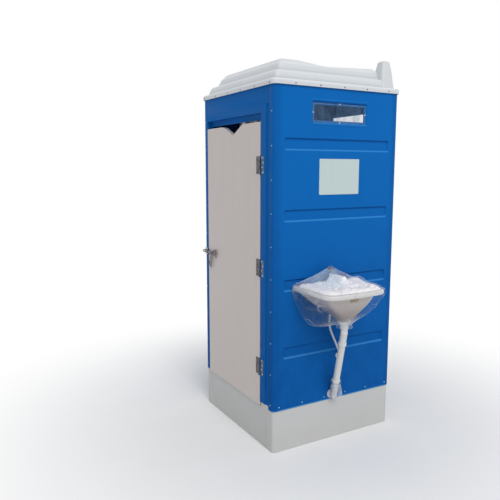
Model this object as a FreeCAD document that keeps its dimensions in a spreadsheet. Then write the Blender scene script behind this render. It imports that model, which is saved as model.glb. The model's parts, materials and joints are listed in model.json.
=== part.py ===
import FreeCAD, Part
import math
import os
import re
import Sketcher

# Portable toilet cabin, millimetres. +Z is up, the door faces -Y, the wash basin hangs on the +X wall,
# and the origin lies on the ground under the middle of the cabin.

Vector = FreeCAD.Vector
doc = FreeCAD.newDocument("ToiletCabin")
sheet = doc.addObject("Spreadsheet::Sheet", "Sizes")
aliases = []
nodes = []


def cell(alias, text):
    """Write one named cell of the sheet."""
    aliases.append(alias)
    row = len(aliases)
    sheet.set("A%d" % row, alias)
    sheet.set("B%d" % row, text)
    sheet.setAlias("B%d" % row, alias)


SIZES = {
    # Cabin walls
    "cabin_wide": 900,
    "cabin_deep": 900,
    "wall_foot": 256,
    "wall_high": 1882,
    "skin": 4,
    "corner_round": 24,
    "seat": 0.3,
    "wrap": 50,
    "lap_flange": 25,
    # Pressed strips and window recess, the same on three walls
    "strip_inset": 67.5,
    "strip_high": 70,
    "strip_deep": 10,
    "strip_round": 14,
    "strip_lift": 345,
    "strip_pitch": 400,
    "strip_count": 4,
    "window_long": 395,
    "window_high": 123,
    "window_deep": 8,
    "window_drop": 157,
    "window_ledge": 16.5,
    "window_brow": 18.5,
    "glass_round": 10,
    "pane_thick": 3,
    "pane_play": 3.5,
    # Plinth, floor and ground frame
    "plinth_wall": 6,
    "kerb_high": 40,
    "jamb_lift": 19,
    "floor_drop": 10,
    "floor_thick": 10,
    "ledge_wide": 30,
    "ledge_thick": 6,
    "panel_inset": 79,
    "panel_deep": 3,
    "panel_foot": 12,
    "angle_leg": 40,
    "angle_thick": 4,
    "cross_wide": 50,
    # Door opening, door frame and door leaf
    "jamb_left": 56,
    "jamb_right": 140,
    "header_high": 161,
    "bead_proud": 2,
    "bead_wide": 55,
    "bead_high": 43,
    "lip_side": 20,
    "lip_top": 34,
    "lip_thick": 5,
    "door_thick": 32,
    "door_gap": 3,
    "hinge_gap": 9,
    "door_over": 4,
    "door_under": 49,
    "door_stop_gap": 1,
    "notch_middle": 35,
    "notch_half": 125,
    "notch_deep": 62,
    "notch_round": 14,
    "shoulder_left": 150,
    "shoulder_right": 70,
    "door_edge": 2,
    # Butt hinges
    "hinge_high": 100,
    "hinge_low_lift": 245,
    "hinge_mid_lift": 842,
    "hinge_top_drop": 242,
    "leaf_wide": 38,
    "leaf_thick": 2,
    "knuckle_radius": 5,
    "knuckle_gap": 0.3,
    "pin_radius": 2.5,
    "pin_play": 0.05,
    "pin_head": 1.5,
    "leaf_clear": 0.5,
    "hinge_screws": 4,
    "hinge_screw_pitch": 27,
    "hinge_screw_near": 21,
    "hinge_screw_far": 31.6,
    # Aldrop latch outside
    "latch_lift": 854,
    "rod_radius": 6,
    "rod_play": 0.4,
    "rod_stand": 12,
    "latch_travel": 35,
    "keeper_out": 41,
    "keeper_long": 20,
    "keeper_end": 25,
    "keeper_plate_high": 46,
    "tip_clear": 7,
    "cleat_wide": 10,
    "cleat_wall": 4,
    "cleat_inset": 3,
    "cleat_pitch": 78,
    "plate_thick": 2,
    "plate_high": 40,
    "grip_half": 26,
    "grip_radius": 4.5,
    "grip_clear": 8,
    "collar_wide": 3,
    "collar_proud": 2.5,
    "collar_clear": 0.5,
    "hasp_clear": 4,
    "hasp_wide": 18,
    "hasp_long": 102,
    "hasp_thick": 3.5,
    "hasp_slot_long": 30,
    "hasp_slot_wide": 7,
    "hasp_back": 7,
    "eye_high": 44,
    "eye_wide": 12,
    "eye_drop": 75,
    "eye_reach": 16,
    "eye_web": 3,
    "eye_inset": 2,
    "small_screw": 3,
    # Bolt, pull and hook inside
    "bolt_lift": 86,
    "bolt_radius": 5,
    "bolt_stand": 16,
    "bolt_travel": 28,
    "bolt_plate_long": 84,
    "bolt_plate_high": 32,
    "bolt_clear": 3,
    "bolt_knob_long": 16,
    "bolt_cap_long": 5,
    "bolt_guide_inset": 4,
    "pull_long": 130,
    "pull_stand": 32,
    "pull_radius": 6,
    "pull_drop": 174,
    "pull_inset": 90,
    "hook_drop": 228,
    "hook_reach": 38,
    "hook_radius": 4,
    "hook_tip": 5,
    "hook_plate_wide": 24,
    "hook_plate_high": 44,
    # Roof moulding: each band as a run inwards and a rise
    "flange_reach": 10,
    "roof_lap": 21,
    "flange_rise": 32,
    "roof_skin": 5,
    "roof_round": 24,
    "cove_run": 28,
    "cove_rise": 6,
    "band_run": 15,
    "band_rise": 40,
    "shoulder_run": 34,
    "shoulder_rise": 14,
    "upper_run": 20,
    "upper_rise": 46,
    "brow_run": 26,
    "brow_rise": 5,
    "crown_run": 150,
    "crown_rise": 5,
    "plateau_edge": 115,
    "plateau_rise": 17,
    "plateau_side": 10,
    "plateau_round": 22,
    "plateau_long": 285,
    "plateau_fall": 180,
    "tower_wide": 104,
    "tower_inset": 21,
    "tower_rise": 201,
    "tower_taper": 16,
    "tower_round": 18,
    "tower_slots": 3,
    # Soil pipe, vent pipe and pan
    "pan_long": 540,
    "pan_wide": 410,
    "pan_back": 345.7,
    "pan_rim": 12,
    "pan_round": 60,
    "pan_wall": 9,
    "bowl_long": 420,
    "bowl_wide": 190,
    "bowl_floor": 108,
    "bowl_outlet": 46,
    "outlet_back": 120,
    "tread_long": 250,
    "tread_wide": 78,
    "tread_high": 8,
    "tread_inset": 12,
    "tread_ribs": 6,
    "soil_radius": 55,
    "soil_wall": 4,
    "soil_mid": 68,
    "soil_reach": 71,
    "soil_collar": 3,
    "shoulder_out": 4,
    "vent_radius": 31.5,
    "vent_wall": 3,
    "clip_wide": 20,
    "clip_low_lift": 654,
    "clip_top_lift": 1404,
    # Cistern and flush pipe
    "cistern_wide": 340,
    "cistern_deep": 120,
    "cistern_lift": 816,
    "cistern_high": 272,
    "cistern_taper": 12,
    "lid_high": 22,
    "lid_lap": 5,
    "lever_long": 72,
    "lever_inset": 45,
    "lever_drop": 34,
    "lever_stand": 14,
    "lever_thick": 7,
    "lever_high": 10,
    "lever_boss": 9,
    "lever_tip": 7,
    "flush_radius": 16,
    "flush_wall": 2,
    # Wash basin on the right wall
    "basin_mid": 90,
    "basin_half": 233,
    "basin_reach": 380,
    "basin_lift": 743,
    "basin_edge": 28,
    "basin_corner": 130,
    "basin_front": 500,
    "basin_step": 12,
    "basin_levels": 7,
    "basin_drop": 191,
    "basin_wall": 12,
    "basin_rim": 42,
    "tap_deck": 96,
    "bowl_deep": 146,
    "waste_x": 190,
    "waste_hole": 24,
    "apron_high": 95,
    "apron_half": 175,
    "hanger_half": 140,
    "hanger_drop": 84,
    "hanger_radius": 5,
    "waste_tail": 46,
    "waste_radius": 20,
    "waste_lean": 62,
    "waste_foot_lift": 36,
    "waste_foot_out": 30,
    "ring_wide": 14,
    "ring_proud": 4,
    "ring_first": 70,
    "ring_second": 350,
    "tap_inset": 55,
    "tap_radius": 13,
    "tap_high": 62,
    "tap_spout": 105,
    "tap_knob_high": 34,
    "tap_tail": 120,
    "hose_radius": 6,
    "hose_port_lift": 273,
    "hose_port_back": 110,
    "hose_port_out": 18,
    "hose_port_rise": 16,
    "hose_fall": 66,
    "hose_slack": 130,
    # Water line inside
    "water_radius": 10.5,
    "water_lift": 244,
    "inlet_inset": 160,
    "inlet_reach": 32,
    "inlet_radius": 10,
    "water_stand": 24,
    "bib_front": 280,
    "bib_reach": 95,
    # Fasteners
    "rivet_radius": 4.5,
    "rivet_high": 2,
    "rivet_end": 22,
    "rivet_count": 6,
    "rivet_margin": 36,
    "rivet_front": 45,
    "rivet_lift": 11,
    "side_rivet_count": 5,
    "side_rivet_first": 131,
    "side_rivet_last": 91,
    "corner_rivets_count": 10,
    "corner_rivet_first": 35,
    "screw_radius": 4,
    "screw_high": 1.2,
}

# Sizes and places worked out from those above
DERIVED = {
    "glass_long": "window_long - 2 * window_ledge",
    "glass_high": "window_high - 2 * window_brow",
    "half_wide": "cabin_wide / 2",
    "half_deep": "cabin_deep / 2",
    "inner_wide": "half_wide - skin",
    "inner_deep": "half_deep - skin",
    "shell_wide": "inner_wide - seat",
    "shell_deep": "inner_deep - seat",
    "wrap_edge": "half_wide - wrap",
    "plinth_in_wide": "shell_wide - plinth_wall",
    "plinth_in_deep": "shell_deep - plinth_wall",
    "floor_wide": "plinth_in_wide - seat",
    "floor_deep": "plinth_in_deep - seat",
    "door_plane": "half_deep + bead_proud",
    "stop_plane": "door_plane - door_thick - door_stop_gap",
    "hinge_axis_y": "door_plane + knuckle_radius",
    "rod_y": "door_plane + rod_stand",
    "vent_x": "half_wide - tower_inset - tower_wide / 2",
    "vent_y": "half_deep - tower_inset - tower_wide / 2",
    "waste_y": "waste_lean - basin_mid",
    "hose_y": "hose_port_back - basin_mid",
    "drain_x": "vent_x",
    "drain_y": "waste_y",
    "wall_top": "wall_foot + wall_high",
    "kerb_top": "wall_foot + kerb_high",
    "jamb_foot": "wall_foot + jamb_lift",
    "floor_top": "wall_foot - floor_drop",
    "window_mid": "wall_top - window_drop",
    "opening_left": "half_wide - jamb_left",
    "opening_right": "half_wide - jamb_right",
    "opening_top": "wall_top - header_high",
    "door_foot": "floor_top + door_over",
    "door_top": "opening_top - door_under",
    "flange_foot": "wall_top - roof_lap",
    "tower_top": "flange_foot + tower_rise",
    "plinth_panel": "half_wide - panel_inset",
    "strip_half_wide": "half_wide - strip_inset",
    "strip_half_deep": "half_deep - strip_inset",
    "strip_first": "wall_foot + strip_lift",
    "hinge_low_mid": "door_foot + hinge_low_lift",
    "hinge_top_mid": "door_top - hinge_top_drop",
    "hinge_mid_mid": "door_foot + hinge_mid_lift",
    "latch_high": "door_foot + latch_lift",
    "bolt_high": "latch_high + bolt_lift",
    "pull_low": "latch_high - pull_drop",
    "hook_high": "door_top - hook_drop",
    "keeper_mid": "opening_left + keeper_out",
    "pan_middle": "shell_deep - pan_back",
    "clip_low": "floor_top + clip_low_lift",
    "clip_top": "floor_top + clip_top_lift",
    "cistern_foot": "floor_top + cistern_lift",
    "basin_top": "wall_foot + basin_lift",
    "hose_port_high": "wall_foot + hose_port_lift",
    "water_high": "wall_foot + water_lift",
    "water_inlet_x": "half_wide - inlet_inset",
    "waste_foot": "wall_foot + waste_foot_lift",
    "bib_back": "half_deep - bib_front",
    "door_left": "opening_left - door_gap",
    "door_right": "opening_right - hinge_gap",
    "hinge_axis_x": "opening_right - hinge_gap / 2",
    "rod_tip": "keeper_mid - keeper_long / 2 - tip_clear",
}

for alias, number in SIZES.items():
    cell(alias, str(number))
for alias, text in DERIVED.items():
    cell(alias, "=" + text)


def formula(text):
    """The text with each cell's alias made a reference to the sheet."""
    def swap(match):
        word = match.group(0)
        return "Sizes." + word if word in aliases else word
    return re.sub(r"[a-z_]+", swap, text)


def value(text):
    """Number that a formula gives now."""
    return float(sheet.evalExpression(formula(text)))


def at(x, y, z):
    """Point from three formulas or numbers."""
    return Vector(value(str(x)), value(str(y)), value(str(z)))


def bind(item, prop, text):
    """Hold a property of an object by a formula."""
    item.setExpression(prop, formula(str(text)))


def keep(item, node):
    """Give an object its node name and list it for writing."""
    item.Label = node
    nodes.append(item)
    return item


# Part primitives and booleans

def box(x, y, z):
    """Box between two faces on each axis, each face a formula."""
    item = doc.addObject("Part::Box", "Block")
    for prop, axis, span in zip(("Length", "Width", "Height"), "xyz", (x, y, z)):
        bind(item, prop, "(%s) - (%s)" % (span[1], span[0]))
        bind(item, "Placement.Base." + axis, span[0])
    return item


TURN = {
    "x": FreeCAD.Rotation(Vector(0, 1, 0), 90),
    "y": FreeCAD.Rotation(Vector(1, 0, 0), -90),
    "z": FreeCAD.Rotation(),
    "-x": FreeCAD.Rotation(Vector(0, 1, 0), -90),
    "-y": FreeCAD.Rotation(Vector(1, 0, 0), 90),
    "-z": FreeCAD.Rotation(Vector(1, 0, 0), 180),
}


def stand(item, axis, foot):
    """Stand a round primitive on a foot point, pointing along an axis."""
    item.Placement = FreeCAD.Placement(Vector(), TURN[axis])
    for name, text in zip("xyz", foot):
        bind(item, "Placement.Base." + name, text)
    return item


def rod(axis, radius, height, foot):
    """Cylinder of a height along an axis from its foot point."""
    item = doc.addObject("Part::Cylinder", "Rod")
    bind(item, "Radius", radius)
    bind(item, "Height", height)
    return stand(item, axis, foot)


def head(axis, radius, height, foot):
    """Low coned head of a rivet or screw, standing out along an axis."""
    item = doc.addObject("Part::Cone", "Head")
    bind(item, "Radius1", radius)
    bind(item, "Radius2", "(%s) * 0.55" % radius)
    bind(item, "Height", height)
    return stand(item, axis, foot)


def ball(radius, centre):
    item = doc.addObject("Part::Sphere", "Ball")
    bind(item, "Radius", radius)
    return stand(item, "z", centre)


def fuse(items):
    item = doc.addObject("Part::MultiFuse", "Joined")
    item.Shapes = items
    return item


def cut(base, tools):
    """The base with one or more tools taken away."""
    item = doc.addObject("Part::Cut", "Trimmed")
    item.Base = base
    item.Tool = tools[0] if len(tools) == 1 else fuse(tools)
    return item


def group(items):
    """Separate solids of one node."""
    item = doc.addObject("Part::Compound", "Group")
    item.Links = items
    return item


def made(shape, node):
    """Piece whose shape comes from lofts or sweeps."""
    item = doc.addObject("Part::Feature", node)
    item.Shape = shape
    item.Placement = FreeCAD.Placement()
    return keep(item, node)


# PartDesign bodies

def new_body(node):
    return keep(doc.addObject("PartDesign::Body", node), node)


def new_sketch(body, role, offset="0"):
    """Sketch on one of the body's own planes, moved along that plane's normal."""
    item = body.newObject("Sketcher::SketchObject", "Outline")
    plane = [entry for entry in body.Origin.OriginFeatures if entry.Role == role][0]
    item.AttachmentSupport = [(plane, "")]
    item.MapMode = "FlatFace"
    bind(item, "AttachmentOffset.Base.z", offset)
    return item


def hold(sketch, kind, first, second, text):
    """Signed distance between two sketch points along one axis, held by a formula."""
    amount = value(text)
    index = sketch.addConstraint(Sketcher.Constraint(kind, *first, *second, amount))
    bind(sketch, "Constraints[%d]" % index, text)


def polygon(sketch, points):
    """Closed outline with a formula for each coordinate of each corner."""
    spots = [Vector(value(x), value(y), 0) for x, y in points]
    count = len(points)
    first = sketch.GeometryCount
    for index in range(count):
        sketch.addGeometry(Part.LineSegment(spots[index], spots[(index + 1) % count]))
    for index in range(count):
        line = first + index
        after = first + (index + 1) % count
        sketch.addConstraint(Sketcher.Constraint("Coincident", line, 2, after, 1))
    for index, (x, y) in enumerate(points):
        hold(sketch, "DistanceX", (-1, 1), (first + index, 1), x)
        hold(sketch, "DistanceY", (-1, 1), (first + index, 1), y)


def rectangle(sketch, x, y):
    polygon(sketch, [(x[0], y[0]), (x[1], y[0]), (x[1], y[1]), (x[0], y[1])])


def rounded(sketch, x, y, radius):
    """Rectangle with four equal round corners, its sides and radius held by formulas."""
    left, right = value(x[0]), value(x[1])
    low, high = value(y[0]), value(y[1])
    arc = value(radius)
    first = sketch.GeometryCount
    sides = [
        ((left + arc, low), (right - arc, low)),
        ((right, low + arc), (right, high - arc)),
        ((right - arc, high), (left + arc, high)),
        ((left, high - arc), (left, low + arc)),
    ]
    for start, end in sides:
        sketch.addGeometry(Part.LineSegment(Vector(*start, 0), Vector(*end, 0)))
    centres = [(right - arc, low + arc), (right - arc, high - arc), (left + arc, high - arc), (left + arc, low + arc)]
    for quarter, centre in enumerate(centres):
        circle = Part.Circle(Vector(*centre, 0), Vector(0, 0, 1), arc)
        begin = math.radians(-90 + 90 * quarter)
        sketch.addGeometry(Part.ArcOfCircle(circle, begin, begin + math.pi / 2))
    for index, kind in enumerate(("Horizontal", "Vertical", "Horizontal", "Vertical")):
        sketch.addConstraint(Sketcher.Constraint(kind, first + index))
    for index in range(4):
        corner = first + 4 + index
        after = first + (index + 1) % 4
        sketch.addConstraint(Sketcher.Constraint("Tangent", first + index, 2, corner, 1))
        sketch.addConstraint(Sketcher.Constraint("Tangent", corner, 2, after, 1))
    hold(sketch, "DistanceY", (-1, 1), (first, 1), y[0])
    hold(sketch, "DistanceX", (-1, 1), (first + 1, 1), x[1])
    hold(sketch, "DistanceY", (-1, 1), (first + 2, 1), y[1])
    hold(sketch, "DistanceX", (-1, 1), (first + 3, 1), x[0])
    index = sketch.addConstraint(Sketcher.Constraint("Radius", first + 4, arc))
    bind(sketch, "Constraints[%d]" % index, radius)
    for other in (5, 6, 7):
        sketch.addConstraint(Sketcher.Constraint("Equal", first + 4, first + other))


def circle(sketch, x, y, radius):
    """Circle whose centre and radius are held by formulas."""
    index = sketch.GeometryCount
    sketch.addGeometry(Part.Circle(Vector(value(x), value(y), 0), Vector(0, 0, 1), value(radius)))
    number = sketch.addConstraint(Sketcher.Constraint("Radius", index, value(radius)))
    bind(sketch, "Constraints[%d]" % number, radius)
    hold(sketch, "DistanceX", (-1, 1), (index, 3), x)
    hold(sketch, "DistanceY", (-1, 1), (index, 3), y)


def pad(body, sketch, length, back=False):
    item = body.newObject("PartDesign::Pad", "Pad")
    item.Profile = sketch
    item.Reversed = back
    bind(item, "Length", length)
    return item


def pocket(body, sketch, length, back=False, taper=0):
    """Cut the sketch to a depth, against the sketch's normal unless it is turned back."""
    item = body.newObject("PartDesign::Pocket", "Pocket")
    item.Profile = sketch
    item.Reversed = back
    bind(item, "Length", length)
    item.TaperAngle = taper
    return item


def edges_near(feature, test):
    """Names of the feature's edges whose both ends pass a test."""
    doc.recompute()
    names = []
    for index, edge in enumerate(feature.Shape.Edges):
        if all(test(vertex.Point) for vertex in edge.Vertexes):
            names.append("Edge%d" % (index + 1))
    return names


def round_edges(body, feature, names, radius):
    item = body.newObject("PartDesign::Fillet", "Fillet")
    item.Base = (feature, names)
    bind(item, "Radius", radius)
    body.Tip = item
    return item


# Wires, lofts and pipes

def plan(x, y, z, near, far):
    """Level outline with round corners: one radius on the low-X side, one on the high-X side."""
    left, right = x
    low, high = y
    half = math.sqrt(0.5)
    spots = [
        (left + near, low), (right - far, low),
        (right - far * (1 - half), low + far * (1 - half)), (right, low + far),
        (right, high - far),
        (right - far * (1 - half), high - far * (1 - half)), (right - far, high),
        (left + near, high),
        (left + near * (1 - half), high - near * (1 - half)), (left, high - near),
        (left, low + near),
        (left + near * (1 - half), low + near * (1 - half)),
    ]
    p = [Vector(a, b, z) for a, b in spots]
    curves = [
        Part.LineSegment(p[0], p[1]), Part.Arc(p[1], p[2], p[3]), Part.LineSegment(p[3], p[4]),
        Part.Arc(p[4], p[5], p[6]), Part.LineSegment(p[6], p[7]), Part.Arc(p[7], p[8], p[9]),
        Part.LineSegment(p[9], p[10]), Part.Arc(p[10], p[11], p[0]),
    ]
    return Part.Wire([curve.toShape() for curve in curves])


def square_plan(middle, half, z, radius):
    """Level rounded rectangle about a middle point."""
    return plan((middle[0] - half[0], middle[0] + half[0]), (middle[1] - half[1], middle[1] + half[1]), z,
                radius, radius)


def loft(wires):
    return Part.makeLoft(wires, True, True)


def straight_pipe(points, radius, elbow=0):
    """Round pipe through the points; each turn is a ball as large as the pipe's elbow fitting."""
    shapes = []
    for start, end in zip(points, points[1:]):
        run = end - start
        shapes.append(Part.makeCylinder(radius, run.Length, start, run))
    for corner in points[1:-1]:
        shapes.append(Part.makeSphere(radius + elbow, corner))
    return shapes[0].fuse(shapes[1:]).removeSplitter()


def bent_path(points, radii):
    """Straight runs through the points, joined by tangent arcs of the given radii."""
    edges = []
    here = points[0]
    for before, corner, after, radius in zip(points, points[1:], points[2:], radii):
        back = (before - corner).normalize()
        ahead = (after - corner).normalize()
        half = back.getAngle(ahead) / 2
        reach = radius / math.tan(half)
        middle = (back + ahead).normalize()
        top = corner + middle * (radius / math.sin(half) - radius)
        start = corner + back * reach
        end = corner + ahead * reach
        edges.append(Part.LineSegment(here, start).toShape())
        edges.append(Part.Arc(start, top, end).toShape())
        here = end
    edges.append(Part.LineSegment(here, points[-1]).toShape())
    return Part.Wire(edges)


def round_sweep(path, radius):
    """Round bar along a path that starts with a straight run."""
    first = path.Edges[0]
    start = first.valueAt(first.FirstParameter)
    normal = first.tangentAt(first.FirstParameter)
    ring = Part.Wire([Part.Circle(start, normal, radius).toShape()])
    return path.makePipeShell([ring], True, False)


doc.recompute()


# Ground frame: steel angles round the plinth with two flat cross members

def ground_frame():
    body = new_body("ground_frame")
    outside = new_sketch(body, "XY_Plane")
    rounded(outside, ("-floor_wide", "floor_wide"), ("-floor_deep", "floor_deep"),
            "corner_round - skin - plinth_wall")
    pad(body, outside, "angle_leg")
    inside = new_sketch(body, "XY_Plane", "angle_thick")
    rounded(inside, ("angle_thick - floor_wide", "floor_wide - angle_thick"),
            ("angle_thick - floor_deep", "floor_deep - angle_thick"), "corner_round - skin - plinth_wall - angle_thick")
    pocket(body, inside, "angle_leg", back=True)
    bays = new_sketch(body, "XY_Plane")
    for left, right in (("angle_leg - floor_wide", "-cross_wide / 2"), ("cross_wide / 2", "floor_wide - angle_leg")):
        for near, far in (("angle_leg - floor_deep", "-cross_wide / 2"), ("cross_wide / 2", "floor_deep - angle_leg")):
            rectangle(bays, (left, right), (near, far))
    pocket(body, bays, "angle_thick", back=True)
    notch = new_sketch(body, "XZ_Plane", "-floor_deep - skin")
    circle(notch, "0", "soil_mid", "soil_radius + soil_collar + seat")
    pocket(body, notch, "2 * angle_leg", back=True)


# Plinth: square moulded skirt with a ledge for the floor and a kerb inside the wall panels

def plinth():
    body = new_body("plinth")
    outside = new_sketch(body, "XY_Plane")
    rounded(outside, ("-shell_wide", "shell_wide"), ("-shell_deep", "shell_deep"), "corner_round - skin")
    pad(body, outside, "kerb_top")
    upper = new_sketch(body, "XY_Plane", "floor_top - floor_thick")
    rounded(upper, ("-plinth_in_wide", "plinth_in_wide"), ("-plinth_in_deep", "plinth_in_deep"),
            "corner_round - skin - plinth_wall")
    pocket(body, upper, "kerb_top", back=True)
    middle = new_sketch(body, "XY_Plane")
    rectangle(middle, ("ledge_wide - plinth_in_wide", "plinth_in_wide - ledge_wide"),
              ("ledge_wide - plinth_in_deep", "plinth_in_deep - ledge_wide"))
    pocket(body, middle, "floor_top", back=True)
    lower = new_sketch(body, "XY_Plane")
    rounded(lower, ("-plinth_in_wide", "plinth_in_wide"), ("-plinth_in_deep", "plinth_in_deep"),
            "corner_round - skin - plinth_wall")
    pocket(body, lower, "floor_top - floor_thick - ledge_thick", back=True)
    jambs = new_sketch(body, "XZ_Plane", "shell_deep + skin")
    rectangle(jambs, ("-wrap_edge - lap_flange", "wrap_edge + lap_flange"), ("jamb_foot - seat", "kerb_top + skin"))
    pocket(body, jambs, "plinth_wall + 2 * skin")
    doorway = new_sketch(body, "XZ_Plane", "shell_deep + skin")
    rectangle(doorway, ("-opening_left", "opening_right"), ("floor_top", "kerb_top + skin"))
    pocket(body, doorway, "plinth_wall + 2 * skin")
    panel = new_sketch(body, "XZ_Plane", "shell_deep + skin")
    rectangle(panel, ("-plinth_panel", "plinth_panel"), ("panel_foot", "floor_top - panel_foot"))
    pocket(body, panel, "skin + panel_deep")
    outlet = new_sketch(body, "XZ_Plane", "-shell_deep - skin")
    circle(outlet, "0", "soil_mid", "soil_radius + soil_collar + seat")
    pocket(body, outlet, "plinth_wall + 2 * skin", back=True)
    waste = new_sketch(body, "YZ_Plane", "shell_wide + skin")
    circle(waste, "waste_y", "waste_foot", "waste_radius + 1 + seat")
    pocket(body, waste, "plinth_wall + 2 * skin")


# Floor deck with cut-outs for the pan, the vent pipe and the basin's drain

def floor_deck():
    body = new_body("floor_deck")
    outside = new_sketch(body, "XY_Plane", "floor_top - floor_thick")
    rounded(outside, ("-floor_wide", "floor_wide"), ("-floor_deep", "floor_deep"),
            "corner_round - skin - plinth_wall")
    pad(body, outside, "floor_thick")
    hole = new_sketch(body, "XY_Plane", "floor_top - floor_thick")
    rounded(hole, ("-bowl_wide / 2 - 2 * pan_wall", "bowl_wide / 2 + 2 * pan_wall"),
            ("pan_middle - bowl_long / 2 - 2 * pan_wall", "pan_middle + bowl_long / 2 + 2 * pan_wall"), "pan_round")
    pocket(body, hole, "floor_thick", back=True)
    pipes = new_sketch(body, "XY_Plane", "floor_top - floor_thick")
    circle(pipes, "vent_x", "vent_y", "vent_radius + seat")
    circle(pipes, "drain_x", "drain_y", "waste_radius + seat")
    pocket(body, pipes, "floor_thick", back=True)


# Wall panels: moulded skins with pressed strips and a window recess; the side ones wrap round the corners

def strip_outlines(sketch, half, grow):
    """Round-cornered outlines of all the strips, grown by a margin."""
    for index in range(int(value("strip_count"))):
        middle = "strip_first + %d * strip_pitch" % index
        rounded(sketch, ("-%s - %s" % (half, grow), "%s + %s" % (half, grow)),
                ("%s - strip_high / 2 - %s" % (middle, grow), "%s + strip_high / 2 + %s" % (middle, grow)),
                "strip_round + %s" % grow)


def window_outline(sketch, long, high, radius, grow="0"):
    rounded(sketch, ("-%s / 2 - %s" % (long, grow), "%s / 2 + %s" % (long, grow)),
            ("window_mid - %s / 2 - %s" % (high, grow), "window_mid + %s / 2 + %s" % (high, grow)),
            "%s + %s" % (radius, grow))


def press_wall(body, role, outer, inner, inward, half):
    """Press the strips and the window recess into a panel.

    outer and inner place the panel's two faces along the plane's normal; inward says whether the
    normal points into the cabin; half is half a strip's length.
    """
    bumps = new_sketch(body, role, inner)
    strip_outlines(bumps, half, "skin")
    pad(body, bumps, "strip_deep", back=not inward)
    frame = new_sketch(body, role, inner)
    window_outline(frame, "window_long", "window_high", "glass_round", "skin")
    pad(body, frame, "window_deep", back=not inward)
    hollows = new_sketch(body, role, outer)
    strip_outlines(hollows, half, "0")
    pocket(body, hollows, "strip_deep", back=inward)
    recess = new_sketch(body, role, outer)
    window_outline(recess, "window_long", "window_high", "glass_round")
    pocket(body, recess, "window_deep", back=inward)
    hole = new_sketch(body, role, outer)
    window_outline(hole, "glass_long", "glass_high", "glass_round")
    pocket(body, hole, "window_deep + 2 * skin", back=inward)


def side_panel(node, right):
    body = new_body(node)
    outside = new_sketch(body, "XY_Plane", "wall_foot")
    rounded(outside, ("-half_wide", "half_wide"), ("-half_deep", "half_deep"), "corner_round")
    pad(body, outside, "wall_top - wall_foot")
    inside = new_sketch(body, "XY_Plane", "wall_foot")
    rounded(inside, ("-inner_wide", "inner_wide"), ("-inner_deep", "inner_deep"), "corner_round - skin")
    pocket(body, inside, "wall_top - wall_foot", back=True)
    rest = new_sketch(body, "XY_Plane", "wall_foot")
    edge = ("-half_wide - skin", "wrap_edge") if right else ("-wrap_edge", "half_wide + skin")
    rectangle(rest, edge, ("-half_deep - skin", "half_deep + skin"))
    pocket(body, rest, "wall_top - wall_foot", back=True)
    sign = "" if right else "-"
    press_wall(body, "YZ_Plane", sign + "half_wide", sign + "inner_wide", not right, "strip_half_deep")
    if right:
        holes = new_sketch(body, "YZ_Plane", "half_wide")
        circle(holes, "waste_y", "waste_foot", "waste_radius + seat")
        circle(holes, "hose_y", "hose_port_high", "hose_radius + seat")
        for side in ("-", "+"):
            circle(holes, "-basin_mid %s hanger_half" % side, "basin_top - hanger_drop", "hanger_radius + seat")
        pocket(body, holes, "strip_deep + 2 * skin")


def back_panel():
    body = new_body("back_panel")
    plate = new_sketch(body, "XZ_Plane", "-half_deep")
    rectangle(plate, ("seat - wrap_edge", "wrap_edge - seat"), ("wall_foot", "wall_top"))
    pad(body, plate, "skin + seat")
    laps = new_sketch(body, "XZ_Plane", "-shell_deep")
    rectangle(laps, ("-wrap_edge - lap_flange", "skin * 3 - wrap_edge"), ("kerb_top + skin", "wall_top"))
    rectangle(laps, ("wrap_edge - skin * 3", "wrap_edge + lap_flange"), ("kerb_top + skin", "wall_top"))
    pad(body, laps, "skin")
    press_wall(body, "XZ_Plane", "-half_deep", "-shell_deep", True, "strip_half_wide")
    hole = new_sketch(body, "XZ_Plane", "-half_deep")
    circle(hole, "water_inlet_x", "water_high", "water_radius + seat")
    pocket(body, hole, "2 * skin", back=True)


# Front frame: folded jamb and header sections round the doorway, with a stop lip behind the door

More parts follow.
